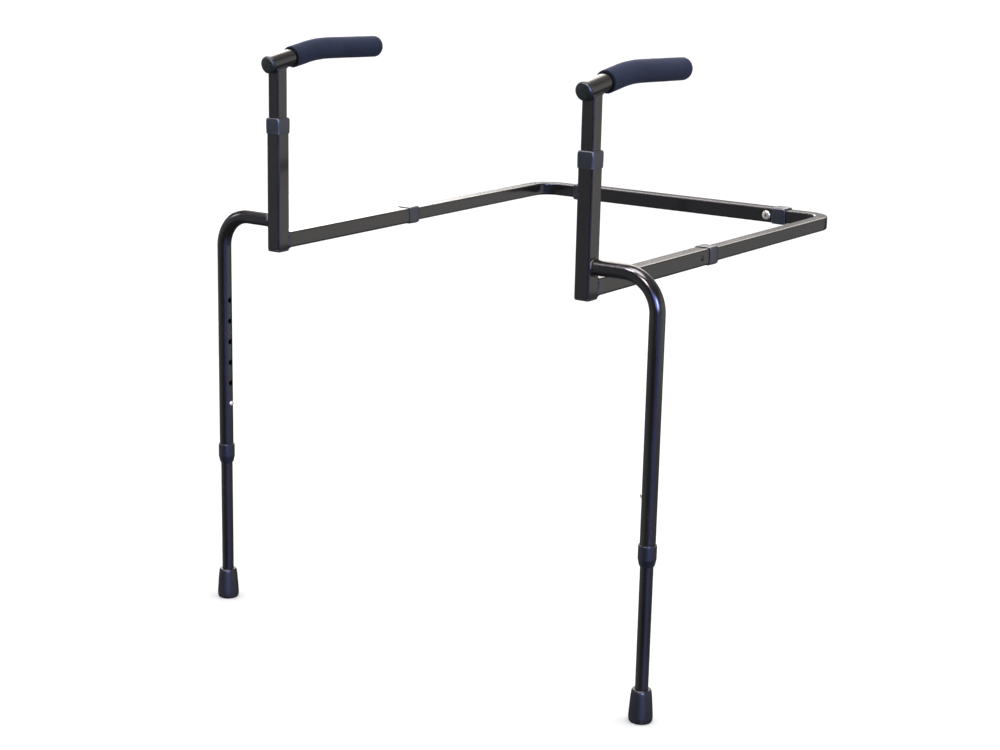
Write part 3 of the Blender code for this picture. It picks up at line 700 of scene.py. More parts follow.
def metal(key, tone, roughness, brushed=0.0, metallic=1.0):
    """Metal with painted shade darkening its recesses. brushed draws its fine grain out along Z."""
    m = Look(key)
    broad = m.noise(scale=160.0, roughness=0.6)
    stretch = (1.0, 1.0, 0.12) if brushed else (1, 1, 1)
    fine = m.noise(scale=900.0, roughness=0.6, stretch=stretch, shift=4.0)
    colour = m.ramp(broad, [(0.3, scaled(tone, 0.90)), (0.7, tone)])
    # painted shade: recesses darkened where ambient occlusion finds them
    colour = m.tint(colour, share=m.recess_shade(distance=1.6 * MM), tone=(0.018, 0.017, 0.016))
    rough = m.plus(
        m.spread(broad, reads=MID, gives=(roughness * 0.8, roughness * 1.2)),
        m.spread(fine, reads=MID, gives=(-0.03, 0.05 + brushed * 0.1)),
    )
    m.set(
        Base_Color=colour,
        Metallic=metallic,
        Roughness=rough,
        Normal=m.bump(fine, strength=0.10 + 0.25 * brushed, distance=0.00004),
    )


powder_coat("powder_coat")
moulded(
    "ferrule",
    tone=(0.018, 0.023, 0.037),
    edge_highlight=(0.190, 0.200, 0.235),
    roughness=0.34,
    coat=0.40,
)
moulded(
    "ferrule_round",
    tone=(0.0105, 0.0125, 0.0215),
    edge_highlight=(0.300, 0.305, 0.330),
    roughness=0.36,
    level=0.34,
    coat=0.40,
)
moulded("plug", tone=(0.015, 0.021, 0.021), edge_highlight=(0.045, 0.052, 0.055), roughness=0.40)
foam("foam")
rubber("rubber")
metal("nickel", tone=(0.88, 0.84, 0.76), roughness=0.22, metallic=0.55)
metal("zinc", tone=(0.62, 0.63, 0.62), roughness=0.36, brushed=0.4)
metal("spring_steel", tone=(0.44, 0.44, 0.46), roughness=0.30, brushed=1.0)
metal("black_button", tone=(0.055, 0.055, 0.060), roughness=0.30)


# shared fittings


def weld(name, points, radius, body, seed):
    """A rippled bead along a closed loop of points."""
    ripple_length, ripple_steps, count = 2.3 * MM, 7, 14
    ripple_depth, wobble_depth, drift_depth = 0.085, 0.10, 0.10  # shares of the radius
    points = [Vector(p) for p in points]
    loop = points + [points[0]]
    lengths = [0.0]
    for a, b in zip(loop, loop[1:]):
        lengths.append(lengths[-1] + (b - a).length)
    total = lengths[-1]
    ripples = round(total / ripple_length)
    steps = ripples * ripple_steps

    def at(distance):
        distance = distance % total
        k = next(k for k in range(1, len(loop)) if lengths[k] >= distance)
        t = (distance - lengths[k - 1]) / (lengths[k] - lengths[k - 1])
        return loop[k - 1].lerp(loop[k], t)

    centre = sum(points, Vector()) / len(points)
    rings = []
    for n in range(steps):
        distance = total * n / steps
        p = at(distance)
        along = (at(distance + 0.6 * MM) - at(distance - 0.6 * MM)).normalized()
        out = p - centre
        out = (out - along * out.dot(along)).normalized()
        up = along.cross(out)
        phase = 2 * math.pi * ripples * n / steps
        ripple = ripple_depth * (abs(math.sin(phase * 0.5)) - 0.6)
        wobble = wobble_depth * noise.noise(p * 260 + Vector((seed, 0, 0)))
        r = radius * (1 + ripple + wobble)
        drift = drift_depth * radius * noise.noise(p * 190 + Vector((0, seed, 3)))
        rings.append(
            [p + (out * math.cos(a) + up * math.sin(a)) * r + up * drift for a in around(count)]
        )
    show(name, loft(rings, closed=True), "powder_coat", body)


def ferrule(node, start, mouth, tube_end):
    """A square ferrule: swelling skirt, rounded shoulder, and a lip over the tube's end."""
    start, mouth = Vector(start), Vector(mouth)
    way = (mouth - start).normalized()
    line = Line([start, mouth], across=(0, 0, 1) if abs(way.z) < 0.5 else (0, 1, 0))
    length = line.length
    seat = (Vector(tube_end) - start).dot(way) + GAP
    skirt, widest, crown = 23.4 * MM, 23.9 * MM, 21.6 * MM
    rim = 0.9 * MM  # narrowing of the skirt at its edge
    over_tube, neck = OUTER + 2 * GAP, INNER + 2 * GAP
    shoulder = length * 0.68
    # distance along, width, corner radius
    outline = [(0.0, skirt - rim, 3.0 * MM)]
    for a in quarter():
        outline.append((0.45 * MM * (1 - math.cos(a)), skirt - rim * (1 - math.sin(a)), 3.2 * MM))
    for t in (0.15, 0.35, 0.55, 0.68):
        swell = math.sin(math.pi * 0.5 * min(1.0, t / 0.62))
        outline.append((length * t, skirt + (widest - skirt) * swell, 3.4 * MM))
    for a in (math.radians(q) for q in range(10, 91, 10)):
        width = crown + (widest - crown) * math.cos(a) ** 0.9
        corner = 3.4 * MM - 0.5 * MM * math.sin(a)
        outline.append((shoulder + (length * 0.30) * math.sin(a), width, corner))
    outline += [
        # mouth
        (length - 0.05 * MM, crown - 0.5 * MM, 2.7 * MM),
        (length, crown - 1.0 * MM, 2.4 * MM),
        (length, 19.6 * MM, 1.9 * MM),
        (length - 0.1 * MM, 18.9 * MM, 1.6 * MM),
        (length - 0.5 * MM, neck, 1.5 * MM),
        # bore, with its step at the tube's end
        (seat, neck, 1.5 * MM),
        (seat, 18.8 * MM, 1.6 * MM),
        (seat, 21.6 * MM, 2.7 * MM),
        (seat - 0.1 * MM, over_tube, 2.8 * MM),
        (0.4 * MM, over_tube, 2.8 * MM),
        (0.05 * MM, 22.1 * MM, 2.9 * MM),
    ]
    rings = [line.ring(distance, square(width, corner)) for distance, width, corner in outline]
    stand_in(node, loft(rings, closed=True), "ferrule")


def snap_button(node, direction, centre, stem, flange, low, tip, look):
    """A domed button on a flange. low and tip are distances out from the tube's axis."""
    dome = stem * 0.62
    ease = 0.15 * MM
    top = low + 0.9 * MM
    profile = [
        (0, low),
        (flange - ease, low),
        (flange, low + ease),
        (flange, low + 0.75 * MM),
        (flange - ease, top),
        (stem + ease, top),
        (stem, low + 1.05 * MM),
    ]
    for q in range(0, 91, 9):
        a = math.radians(q)
        profile.append((stem * math.cos(a) if q < 90 else 0.0, tip - dome + dome * math.sin(a)))
    stand_in(node, turned(profile, direction, centre, steps=48), look)


# the rear bar


def rear_sleeve():
    line = Line([(-SLEEVE_HALF, REAR_Y, ARM_Z), (SLEEVE_HALF, REAR_Y, ARM_Z)], across=(0, 0, 1))
    face_y = REAR_Y - OUTER * 0.5
    holes = []
    for _, s in SIDES:
        start, end = (s * SCREW_X, face_y, ARM_Z), (s * SCREW_X, face_y + 4 * MM, ARM_Z)
        holes.append(drill(SCREW_HOLE_R, start, end, flare=HOLE_FLARE))
    bm = outer_tube(line, step=16 * MM)
    stand_in("rear_sleeve", machined("rear_sleeve", bm, holes), "powder_coat")


def corner_tube(side, s):
    """The inner tube from the arm, round the rear corner and into the sleeve."""
    node = f"corner_tube_{side}"
    x = s * POST_X
    low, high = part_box(node)
    end_x = min(abs(low.x), abs(high.x))
    line = Line(
        [(x, low.y, ARM_Z), (x, REAR_Y, ARM_Z), (s * end_x, REAR_Y, ARM_Z)],
        across=(0, 0, 1),
        bend_radius=CORNER_BEND_R,
    )
    # slot with round ends in the front wall of the rear run
    wall_y = REAR_Y - INNER * 0.5
    slot = block((SLOT_LENGTH, 5 * MM, 2 * SCREW_HOLE_R))
    bmesh.ops.translate(slot, vec=(s * SLOT_X, wall_y + 0.5 * MM, ARM_Z), verts=slot.verts)
    cutters = [slot]
    for end in (-1, 1):
        slot_x = s * (SLOT_X + end * SLOT_LENGTH * 0.5)
        start, stop = (slot_x, wall_y - 2 * MM, ARM_Z), (slot_x, wall_y + 3 * MM, ARM_Z)
        cutters.append(drill(SCREW_HOLE_R, start, stop))
    start = (x + s * INNER * 0.5, ARM_BUTTON_Y, ARM_Z)
    stop = (x + s * 4 * MM, ARM_BUTTON_Y, ARM_Z)
    cutters.append(drill(ARM_HOLE_R, start, stop, flare=HOLE_FLARE))
    bm = inner_tube(line, step=12 * MM)
    stand_in(node, machined(f"corner_{side}", bm, cutters), "powder_coat")


def rear_collar(side, s):
    node = f"rear_collar_{side}"
    low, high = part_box(node)
    inner_x, outer_x = sorted((abs(low.x), abs(high.x)))
    places = [(s * x, REAR_Y, ARM_Z) for x in (inner_x, outer_x, SLEEVE_HALF)]
    ferrule(node, *places)


def rear_screw(side, s):
    """A pan head with a cross recess, on a threaded shank, driven in from the front."""
    node = f"rear_screw_{side}"
    facing = (0, -1, 0)
    seat = Vector((s * SCREW_X, REAR_Y - OUTER * 0.5, ARM_Z))
    low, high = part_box(node)
    out = (seat.y - low.y) / MM
    deep = (high.y - seat.y) / MM
    # (r, z) in mm from the seat: tip, thread, neck, then the head from its rim up
    profile = [(0, -deep), (1.75, -deep), (2.3, -deep + 0.6)]
    z = -deep + 0.9
    while z < -2.2:
        profile += [(2.5, z), (2.12, z + 0.25), (2.12, z + 0.3), (2.5, z + 0.55)]
        z += 0.8
    profile += [(2.45, -1.6), (2.45, 0.3)]
    profile += [(6.35, 0.3), (6.55, 0.45), (6.6, 0.8), (6.56, 1.05)]
    for a in (math.radians(q) for q in range(90, 0, -6)):
        profile.append((6.35 * math.sin(a), 1.25 + (out - 1.25) * math.cos(a) ** 0.85))
    profile.append((0.0, out))
    bm = turned(from_mm(profile), facing, seat, steps=64)

    top = seat + Vector((0, -out * MM, 0))
    cutters = []
    for turn in (math.radians(12), math.radians(102)):
        wing = block((8.6 * MM, 1.9 * MM, 3.6 * MM))
        for v in wing.verts:
            if v.co.z < 0:
                v.co.x *= 0.42
                v.co.y *= 0.62
        bmesh.ops.rotate(wing, matrix=Matrix.Rotation(turn, 3, "Z"), verts=wing.verts)
        bmesh.ops.transform(wing, matrix=turn_to(facing, top), verts=wing.verts)
        cutters.append(wing)
    well = from_mm([(0, -2.0), (0.8, -1.9), (1.55, 0.4), (0, 0.4)])
    cutters.append(turned(well, facing, top, steps=24))
    stand_in(node, machined(node, bm, cutters), "nickel")


# the posts


def post(side, s):
    x = s * POST_X
    holes = [
        drill(HOLE_R, (x, POST_Y + OUTER * 0.5, z), (x, POST_Y + 5 * MM, z), flare=HOLE_FLARE)
        for z in POST_HOLES_Z
    ]
    bm = outer_tube(upright(x, POST_LOW, POST_TOP), step=14 * MM)
    stand_in(f"post_outer_tube_{side}", machined(f"post_{side}", bm, holes), "powder_coat")


def post_plug(side, s):
    """The plug in the post's foot: a rounded flange under a body inside the bore."""
    node = f"post_bottom_plug_{side}"
    low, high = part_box(node)
    line = upright(s * POST_X, low.z, high.z)
    height = high.z - low.z
    flange = 3.0 * MM
    width = OUTER_BORE - 2 * GAP
    # distance up, width, corner radius
    outline = [(0.0, OUTER - 8.0 * MM, 1.2 * MM)]
    for a in quarter(8):
        short = 1 - math.sin(a)
        up = 2.3 * MM * (1 - math.cos(a))
        outline.append((up, OUTER - 4.6 * MM * short, OUTER_CORNER - 0.9 * MM * short))
    outline += [
        (flange - 0.2 * MM, OUTER, OUTER_CORNER),
        (flange, OUTER - 0.4 * MM, OUTER_CORNER - 0.2 * MM),
        (flange, width, OUTER_BORE_CORNER),
        (height - 1.5 * MM, width, OUTER_BORE_CORNER),
        (height, width - 1.4 * MM, OUTER_BORE_CORNER - 0.4 * MM),
    ]
    stand_in(node, loft([line.ring(up, square(w, corner)) for up, w, corner in outline]), "plug")


def post_collar(side, s):
    node = f"post_collar_{side}"
    low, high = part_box(node)
    places = [(s * POST_X, POST_Y, z) for z in (low.z, high.z, POST_TOP)]
    ferrule(node, *places)


# the handles


def handle_post(side, s):
    """The inner post, with its saddle under the handle tube."""
    node = f"handle_post_{side}"
    x = s * POST_X
    top = Vector((x, POST_Y, HANDLE_Z))
    reach = HANDLE_WAY * 0.03
    face, inside = (x, POST_Y + INNER * 0.5, POST_BUTTON_Z), (x, POST_Y + 4 * MM, POST_BUTTON_Z)
    cutters = [
        drill(HANDLE_R + 0.05 * MM, top - reach, top + reach, count=128, twist=0.011),
        drill(HOLE_R, face, inside, flare=HOLE_FLARE),
    ]
    bm = inner_tube(upright(x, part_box(node)[0].z, HANDLE_Z), step=12 * MM)
    stand_in(node, machined(node, bm, cutters), "powder_coat")


def handle_line(s):
    """Straight, one wide bend, straight, over the post's plane. Distance 0 is over the post."""
    x = s * POST_X
    knee_z = HANDLE_Z + math.tan(HANDLE_RISE) * HANDLE_KNEE_Y
    far_z = knee_z + math.tan(HANDLE_FALL) * (HANDLE_LINE_Y - HANDLE_KNEE_Y)
    return Line(
        [
            (x, POST_Y, HANDLE_Z),
            (x, POST_Y + HANDLE_KNEE_Y, knee_z),
            (x, POST_Y + HANDLE_LINE_Y, far_z),
        ],
        across=(1, 0, 0),
        bend_radius=HANDLE_BEND_R,
    )


def distance_to(line, y):
    """The distance along a handle line at which it stands y behind the post, by halving."""
    low, high = -0.06, line.length
    for _ in range(50):
        half = (low + high) * 0.5
        if line.at(half)[0].y - POST_Y < y:
            low = half
        else:
            high = half
    return low


def handle_tube(side, s):
    line = handle_line(s)
    front, far = distance_to(line, HANDLE_FRONT_Y), distance_to(line, HANDLE_FAR_Y)
    outer, inner = round_stock(HANDLE_R), round_stock(HANDLE_BORE_R)
    bm = tube(line, front, far, outer, inner, ease=0.35 * MM, step=5 * MM)
    stand_in(f"handle_tube_{side}", bm, "powder_coat")


def handle_weld(side, s):
    """The bead round the post's top, along the underside of the handle tube."""
    saddle = []
    for x, y in square(INNER + 0.5 * MM, INNER_CORNER + 0.25 * MM, **WELD_STEPS):
        axis_z = HANDLE_Z + math.tan(HANDLE_RISE) * y
        drop = math.sqrt(max(HANDLE_R**2 - x * x, 0)) / math.cos(HANDLE_RISE)
        saddle.append((s * POST_X + x, POST_Y + y, axis_z - drop - 0.35 * MM))
    weld(f"weld_handle_{side}", saddle, 1.45 * MM, body=f"handle_{side}", seed=4 + s)


def handle_cap(side, s):
    """The domed plug in the handle's front end."""
    # (r, z) in mm, z out from the tube's end
    outline = [
        (0, -12.2), (8.6, -12.2), (9.3, -11.0), (9.3, GAP / MM), (11.0, GAP / MM),
        (11.45, 0.9), (11.45, 2.2), (11.0, 3.5), (9.6, 4.6), (6.8, 5.4), (3.0, 5.75), (0, 5.8),
    ]  # fmt: skip
    profile = soften([(r, z, 0.8) for r, z in outline], steps=5)
    line = handle_line(s)
    place = line.at(distance_to(line, HANDLE_FRONT_Y))[0]
    bm = turned(from_mm(profile), -HANDLE_WAY, place, steps=72)
    stand_in(f"handle_cap_{side}", bm, "plug")


def foam_rings(line, front, far, count):
    """The grip's outside: eased front rim, long skin, rounded far end."""
    edge, pace = 0.7 * MM, 0.56 * MM
    tip_length, tip_drop, tip_bulge = 7.5 * MM, 9.2 * MM, 0.25 * MM
    start, stop = front + edge, far - tip_length
    stations = []  # distance along, radius
    for k in range(5):
        a = math.radians(90) * (1 - k / 5)
        stations.append((start - edge * math.sin(a), FOAM_R - edge * (1 - math.cos(a))))
    steps = int((stop - start) / pace)
    for k in range(steps + 1):
        stations.append((start + (stop - start) * k / steps, FOAM_R))
    for k in range(1, 22):
        a = math.radians(90) * k / 22
        radius = FOAM_R - tip_drop * (1 - math.cos(a)) ** 1.12
        stations.append((stop + tip_length * math.sin(a), radius))
    for k in range(1, 9):
        t = k / 9
        bulge = tip_bulge * math.sin(math.pi * 0.5 * t)
        stations.append((stop + tip_length + bulge, (FOAM_R - tip_drop) * (1 - t)))
    pole = line.at(stop + tip_length + 0.26 * MM)[0]
    return [line.ring(distance, circle(radius, count)) for distance, radius in stations], pole


def roughen_foam(verts, seed):
    """Moves the skin by slow waves, lumps and shallow pits."""
    wave_depth, lump_depth, pit_depth, pit_reach = 0.16 * MM, 0.075 * MM, 0.13 * MM, 0.42
    moves = []
    for v in verts:
        p = v.co
        wave = noise.noise(p * 55 + Vector((seed, 0, 0)))
        lump = noise.noise(p * 330 + Vector((0, seed, 0)))
        near = noise.voronoi(p * 520 + Vector((seed, 0, 0)))[0][0]
        pore_shade = max(0.0, pit_reach - near) / pit_reach
        moves.append(v.normal * (wave * wave_depth + lump * lump_depth - pore_shade * pore_shade * pit_depth))
    for v, move in zip(verts, moves):
        v.co += move


def foam_grip(side, s):
    """A foam sleeve, closed over the handle's far end and open at the front."""
    line = handle_line(s)
    count = 168
    front, far = distance_to(line, GRIP_FRONT_Y), distance_to(line, GRIP_FAR_Y)
    rings, pole_place = foam_rings(line, front, far, count)
    bm = bmesh.new()
    rows = [[bm.verts.new(p) for p in ring] for ring in rings]
    bridge(bm, rows)
    pole = bm.verts.new(pole_place)
    for k in range(count):
        bm.faces.new((rows[-1][k], rows[-1][(k + 1) % count], pole))
    # the bore, coarser, joined at the front rim
    bore_start = front + 0.5 * MM
    bore_end = distance_to(line, HANDLE_FAR_Y + 0.4 * MM)
    stations = [(front, FOAM_BORE_R + 0.4 * MM)]
    for k in range(41):
        stations.append((bore_start + (bore_end - front - 0.5 * MM) * k / 40, FOAM_BORE_R))
    bore = [[bm.verts.new(p) for p in line.ring(d, circle(r, count))] for d, r in stations]
    bridge(bm, [rows[0], *bore])
    bm.faces.new(bore[-1])
    bmesh.ops.recalc_face_normals(bm, faces=bm.faces)
    bm.normal_update()
    roughen_foam([v for row in rows[3:] for v in row], seed=s * POST_X * 1000)
    stand_in(f"foam_grip_{side}", bm, "foam", weighted=False)


# the arms


def arm(side, s):
    node = f"arm_outer_tube_{side}"
    x = s * POST_X
    low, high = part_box(node)
    line = Line([(x, low.y, ARM_Z), (x, high.y, ARM_Z)], across=(0, 0, 1))
    start = (x + s * OUTER * 0.5, ARM_BUTTON_Y, ARM_Z)
    end = (x + s * 5 * MM, ARM_BUTTON_Y, ARM_Z)
    hole = drill(ARM_HOLE_R, start, end, flare=HOLE_FLARE)
    bm = outer_tube(line, step=14 * MM)
    stand_in(node, machined(f"arm_{side}", bm, [hole]), "powder_coat")


def arm_collar(side, s):
    node = f"arm_collar_{side}"
    low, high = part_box(node)
    tube_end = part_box(f"arm_outer_tube_{side}")[1].y
    places = [(s * POST_X, y, ARM_Z) for y in (low.y, high.y, tube_end)]
    ferrule(node, *places)


def arm_weld(side, s):
    """The bead round the arm's front end, on the rear face of the post."""
    path = []
    for x, z in square(OUTER - 0.6 * MM, OUTER_CORNER, **WELD_STEPS):
        if abs(x) > abs(z):
            x, y = x * 0.93, 0.0
        else:
            y, z = 0.35 * MM, z * 1.045
        path.append((s * POST_X + x, POST_Y + OUTER * 0.5 + y, ARM_Z + z))
    weld(f"weld_arm_{side}", path, 1.45 * MM, body=f"side_{side}", seed=11 + s)


# the legs


def leg_upper(side, s):
    """The bent tube out from the post and down."""
    node = f"leg_upper_tube_{side}"
    x = s * LEG_X
    low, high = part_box(node)
    start_x = min(abs(low.x), abs(high.x))
    line = Line(
        [(s * start_x, POST_Y, LEG_TOP_Z), (x, POST_Y, LEG_TOP_Z), (x, POST_Y, LEG_LOW)],
        across=(0, 1, 0),
        bend_radius=LEG_BEND_R,
    )
    holes = [
        drill(HOLE_R, (x - s * 4.8 * MM, POST_Y, z), (x - s * 13.1 * MM, POST_Y, z))
        for z in LEG_HOLES_Z
    ]
    bm = round_tube(line, LEG_R, LEG_BORE_R, step=7 * MM)
    stand_in(node, machined(f"leg_upper_{side}", bm, holes), "powder_coat")


def leg_weld(side, s):
    """The bead round the leg's top end, on the outer face of the post."""
    x = s * (POST_X + OUTER * 0.5 + 0.75 * MM)
    path = [(x, POST_Y + y, LEG_TOP_Z + z) for y, z in circle(LEG_R + 0.35 * MM, 48)]
    weld(f"weld_leg_{side}", path, 1.65 * MM, body=f"side_{side}", seed=21 + s)


def leg_collar(side, s):
    node = f"leg_collar_{side}"
    low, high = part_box(node)
    top, foot, seat = high.z / MM, low.z / MM, (LEG_LOW - GAP) / MM
    upper_bore, lower_bore = (LEG_R + GAP) / MM, (LOWER_R + GAP) / MM
    # r, z, rounding, in mm
    profile = [
        (upper_bore, top, 0.25),
        (10.9, top, 0.5),
        (11.2, top - 0.9, 0.8),
        (11.2, top - 17.6, 1.6),
        (10.7, top - 19.8, 2.2),
        (9.5, foot + 0.9, 0.8),
        (9.0, foot, 0.3),
        (lower_bore, foot, 0.25),
        (lower_bore, seat, 0.1),
        (upper_bore, seat, 0.1),
    ]
    profile = from_mm(soften(profile, closed=True, steps=5))
    bm = turned(profile, point=(s * LEG_X, POST_Y, 0), steps=80)
    stand_in(node, bm, "ferrule_round")


def leg_lower(side, s):
    x, z = s * LEG_X, LEG_BUTTON_Z
    hole = drill(HOLE_R, (x - s * 4.0 * MM, POST_Y, z), (x - s * 10.0 * MM, POST_Y, z))
    bm = round_tube(upright(x, LOWER_LOW, LOWER_HIGH), LOWER_R, LOWER_BORE_R, step=12 * MM)
    stand_in(f"leg_lower_tube_{side}", machined(f"leg_lower_{side}", bm, [hole]), "powder_coat")


# the rubber tip: r, z, rounding, in mm
TIP_PROFILE = [
    # socket and top rim
    (0, 4.5, 0), (8.3, 4.5, 0.4), (8.3, 41.5, 0.3), (10.9, 41.5, 0.35),
    # outside
    (11.7, 40.7, 0.6), (12.3, 38.6, 1.2), (13.1, 32.0, 6.0), (14.0, 20.0, 6.0),
    (14.7, 10.0, 2.5), (14.85, 5.5, 1.4), (14.4, 1.9, 1.0), (13.2, 0.0, 0.6),
    # sole, with two round grooves
    (11.0, 0.0, 0.2), (10.6, 0.7, 0.2), (9.4, 0.7, 0.2), (9.0, 0.0, 0.2),
    (7.2, 0.0, 0.2), (6.8, 0.7, 0.2), (5.6, 0.7, 0.2), (5.2, 0.0, 0.2), (0, 0.0, 0),
]  # fmt: skip


def foot_tip(side, s):
    profile = from_mm(soften(TIP_PROFILE, steps=6))
    bm = turned(profile, point=(s * LEG_X, POST_Y, 0), steps=96)
    stand_in(f"foot_tip_{side}", bm, "rubber")


def lock_buttons(side, s):
    snap_button(
        f"post_button_{side}",
        direction=(0, 1, 0),
        centre=(s * POST_X, POST_Y, POST_BUTTON_Z),
        stem=3.3 * MM,
        flange=4.6 * MM,
        low=5.8 * MM,
        tip=13.4 * MM,
        look="nickel",
    )
    snap_button(
        f"arm_button_{side}",
        direction=(s, 0, 0),
        centre=(s * POST_X, ARM_BUTTON_Y, ARM_Z),
        stem=2.7 * MM,
        flange=4.4 * MM,
        low=5.8 * MM,
        tip=12.0 * MM,
        look="black_button",
    )
    snap_button(
        f"leg_button_{side}",
        direction=(-s, 0, 0),
        centre=(s * LEG_X, POST_Y, LEG_BUTTON_Z),
        stem=3.3 * MM,
        flange=4.2 * MM,
        low=3.9 * MM,
        tip=12.6 * MM,
        look="nickel",
    )


def ease_packed_pieces():
    """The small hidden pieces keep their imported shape, with eased edges."""
    for name, o in NODES.items():
        if o.hide_render:
            continue
        spring = "spring" in name
        o.data.materials.clear()
        o.data.materials.append(MATERIALS["spring_steel" if spring else "zinc"])
        join = o.modifiers.new("weld", "WELD")
        join.merge_threshold = 0.00001
        ease = o.modifiers.new("ease", "BEVEL")
        ease.limit_method, ease.angle_limit = "ANGLE", math.radians(40)
        ease.width, ease.segments = (0.00012 if spring else 0.0003), 2
        o.modifiers.new("flats", "WEIGHTED_NORMAL")
        o.data.shade_smooth()


SIDE_PIECES = (
    post, post_plug, post_collar,
    handle_post, handle_tube, handle_weld, handle_cap, foam_grip,
    arm, arm_collar, arm_weld,
    corner_tube, rear_collar, rear_screw,
    leg_upper, leg_weld, leg_collar, leg_lower, foot_tip,
    lock_buttons,
)  # fmt: skip

rear_sleeve()
for side, s in SIDES:
    for piece in SIDE_PIECES:
        piece(side, s)
ease_packed_pieces()


# stage, light and camera


def add_floor():
    bm = bmesh.new()
    bmesh.ops.create_grid(bm, x_segments=1, y_segments=1, size=14.0)
    floor = bpy.data.objects.new("floor", to_mesh("floor", bm))
    PARTS.objects.link(floor)
    floor.location.z = -0.0002
    paper = Look("paper")
    tones = [(0.3, (0.955, 0.955, 0.955)), (0.7, (0.975, 0.975, 0.975))]
    colour = paper.ramp(paper.noise(scale=60.0), tones)
    paper.set(Base_Color=colour, Roughness=0.9, Specular_IOR_Level=0.1)
    floor.data.materials.append(MATERIALS["paper"])
    floor.visible_glossy = False
    floor.visible_diffuse = False


# What glossy surfaces see: soft panels round the frame. Direction, angles in degrees inside
# which the light is full and outside which it is none, colour, and gates: pairs of heights
# (direction z) at which it is none and full.
PANELS = [
    # backdrop, right
    ((0.90, 0.42, -0.15), 10, 50, (0.79, 0.76, 0.70), [(-0.28, -0.22)]),
    ((0.90, 0.42, -0.15), 10, 50, (0.17, 0.17, 0.20), []),
    # bright wall, rear left
    ((-0.72, 0.67, 0.17), 8, 15, (6.6, 6.4, 6.2), [(0.158, 0.174)]),
    # the wall behind, and its upper part
    ((-0.45, 0.85, 0.30), 20, 42, (0.60, 0.56, 0.52), [(0.158, 0.174)]),
    ((-0.60, 0.72, 0.40), 16, 34, (3.4, 3.2, 3.0), [(0.245, 0.30)]),
    # warm glow above the backdrop
    ((0.15, 0.80, 0.58), 12, 45, (0.24, 0.22, 0.20), []),
    # cool window, front right, and its clear pane
    ((0.62, -0.76, 0.19), 13, 32, (2.6, 3.4, 10.5), [(-0.07, 0.0), (0.42, 0.28)]),
    ((0.70, -0.69, 0.16), 5, 12, (15.0, 18.0, 24.0), []),
    # ceiling tube, in two halves
    ((-0.49, -0.415, 0.765), 4, 14, (3.2, 2.9, 3.1), []),
    ((-0.30, -0.565, 0.770), 4, 9, (44.0, 38.0, 44.0), []),
    # small lamps: in front, above, and left
    ((0.11, -0.81, 0.575), 4, 10, (40.0, 35.0, 38.0), []),
    ((-0.53, 0.02, 0.85), 3, 8, (9.0, 8.4, 9.6), []),
    ((-0.85, -0.42, 0.34), 3, 9, (6.0, 6.0, 6.4), []),
    # dim panel, left
    ((-0.85, -0.50, -0.10), 15, 50, (0.26, 0.27, 0.31), []),
    # cool bounce from the floor
    ((0.88, -0.42, -0.24), 12, 36, (0.29, 0.34, 1.05), [(-0.145, -0.185)]),
    # ceiling lamp and ceiling
    ((-0.02, -0.24, 0.96), 9, 21, (15.0, 14.4, 14.8), []),
    ((0, 0, 1), 15, 60, (0.32, 0.31, 0.32), []),
]
AMBIENT = (0.07, 0.07, 0.08)


def panel_light(graph, direction, height, panel):
    aim, full, none, colour, gates = panel
    dot = graph.add(
        "ShaderNodeVectorMath", {0: direction, 1: Vector(aim).normalized()}, operation="DOT_PRODUCT"
    )
    reads = (math.cos(math.radians(none)), math.cos(math.radians(full)))
    share = graph.spread(dot.outputs["Value"], reads, gives=(0.0, 1.0), smooth=True)
    for gate in gates:
        gives = (0.0, 1.0) if gate[0] < gate[1] else (1.0, 0.0)
        opened = graph.spread(height, (min(gate), max(gate)), gives, smooth=True)
        share = graph.times(share, opened)
    inputs = {0: colour, "Scale": share}
    return graph.add("ShaderNodeVectorMath", operation="SCALE", inputs=inputs).outputs["Vector"]


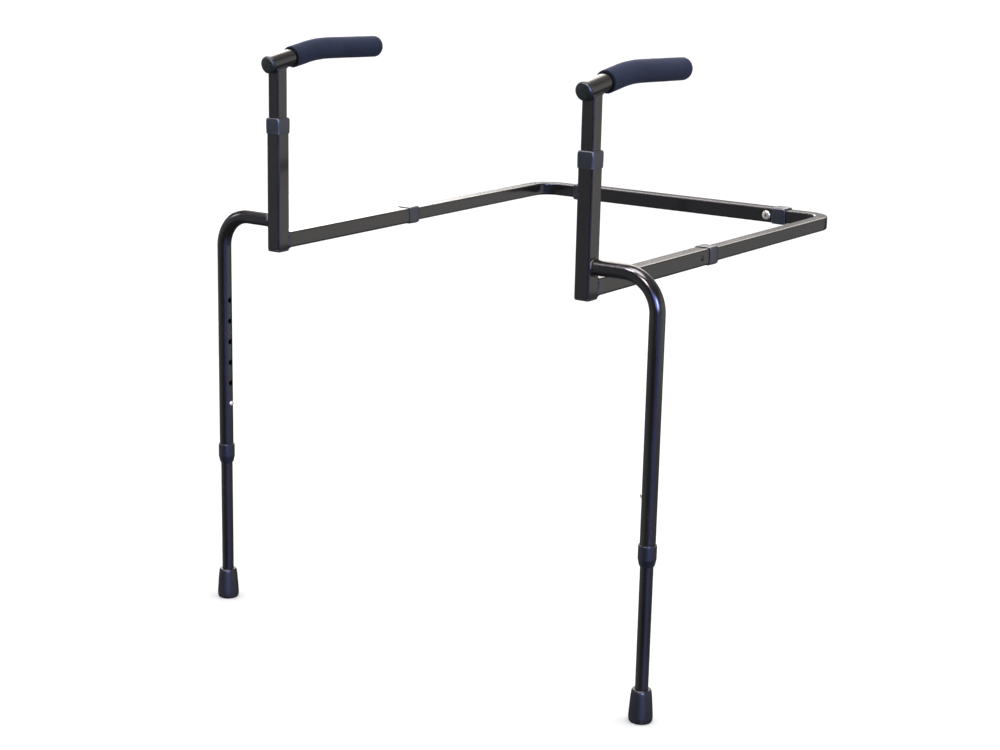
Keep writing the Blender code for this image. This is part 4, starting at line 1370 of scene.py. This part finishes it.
def add_world():
    world = bpy.data.worlds.new("studio")
    scene.world = world
    world.use_nodes = True
    world.node_tree.nodes.clear()
    graph = Graph(world.node_tree)
    direction = graph.add("ShaderNodeTexCoord").outputs["Generated"]
    height = graph.add("ShaderNodeSeparateXYZ", {0: direction}).outputs["Z"]

    def total(a, b):
        node = graph.add("ShaderNodeVectorMath", {0: a, 1: b}, operation="ADD")
        return node.outputs["Vector"]

    def background(colour, strength):
        inputs = {"Color": colour, "Strength": strength}
        return graph.add("ShaderNodeBackground", inputs).outputs[0]

    def pick(share, a, b):
        return graph.add("ShaderNodeMixShader", {"Fac": share, 1: a, 2: b}).outputs[0]

    seen = panel_light(graph, direction, height, PANELS[0])
    for panel in PANELS[1:]:
        seen = total(seen, panel_light(graph, direction, height, panel))
    mirror = background(total(seen, AMBIENT), strength=1.0)
    # what lights matt surfaces: even from above, dim from below
    glow = graph.spread(height, reads=(-0.25, 0.10), gives=(0.30, 1.14), smooth=True)
    fill = background((0.985, 0.99, 1.0, 1.0), strength=glow)
    # what the camera sees
    white = background((1.0, 1.0, 1.0, 1.0), strength=1.1)
    rays = graph.add("ShaderNodeLightPath").outputs
    lit = pick(rays["Is Glossy Ray"], fill, mirror)
    front = pick(rays["Is Camera Ray"], lit, white)
    graph.add("ShaderNodeOutputWorld", {"Surface": front})


def add_key_lamp():
    place, aim = Vector((1.3, 0.9, 2.6)), Vector((0.0, 0.0, 0.4))
    light = bpy.data.lights.new("key", "AREA")
    light.shape = "RECTANGLE"
    light.size = light.size_y = 1.4
    light.energy = 14.0
    light.color = (1.0, 0.985, 0.96)
    o = bpy.data.objects.new("key", light)
    PARTS.objects.link(o)
    o.location = place
    o.rotation_mode = "QUATERNION"
    o.rotation_quaternion = (aim - place).to_track_quat("-Z", "Y")
    o.visible_camera = False
    o.visible_glossy = False


def add_camera():
    """Stands in front on the right, looking back, to the left and down."""
    place = (1.51663, -2.28655, 0.99526)
    pitch, yaw, roll = (math.radians(a) for a in (14.4885, 39.5079, 0.2237))
    data = bpy.data.cameras.new("camera")
    camera = bpy.data.objects.new("camera", data)
    PARTS.objects.link(camera)
    scene.camera = camera
    data.sensor_width = 36.0
    data.lens = 72.99504
    data.shift_x, data.shift_y = 0.150, 0.0192
    data.clip_start, data.clip_end = 0.05, 60.0
    level = math.cos(pitch)
    ahead = Vector((-math.sin(yaw) * level, math.cos(yaw) * level, -math.sin(pitch)))
    right = Vector((math.cos(yaw), math.sin(yaw), 0.0))
    down = ahead.cross(right)
    view_right = right * math.cos(roll) - down * math.sin(roll)
    view_down = right * math.sin(roll) + down * math.cos(roll)
    turn = Matrix((view_right, -view_down, -ahead)).transposed()
    camera.matrix_world = Matrix.Translation(place) @ turn.to_4x4()


add_floor()
add_world()
add_key_lamp()
add_camera()

scene.view_settings.view_transform = "Standard"
scene.view_settings.look = "None"
scene.view_settings.exposure = 0.0
scene.view_settings.gamma = 1.0
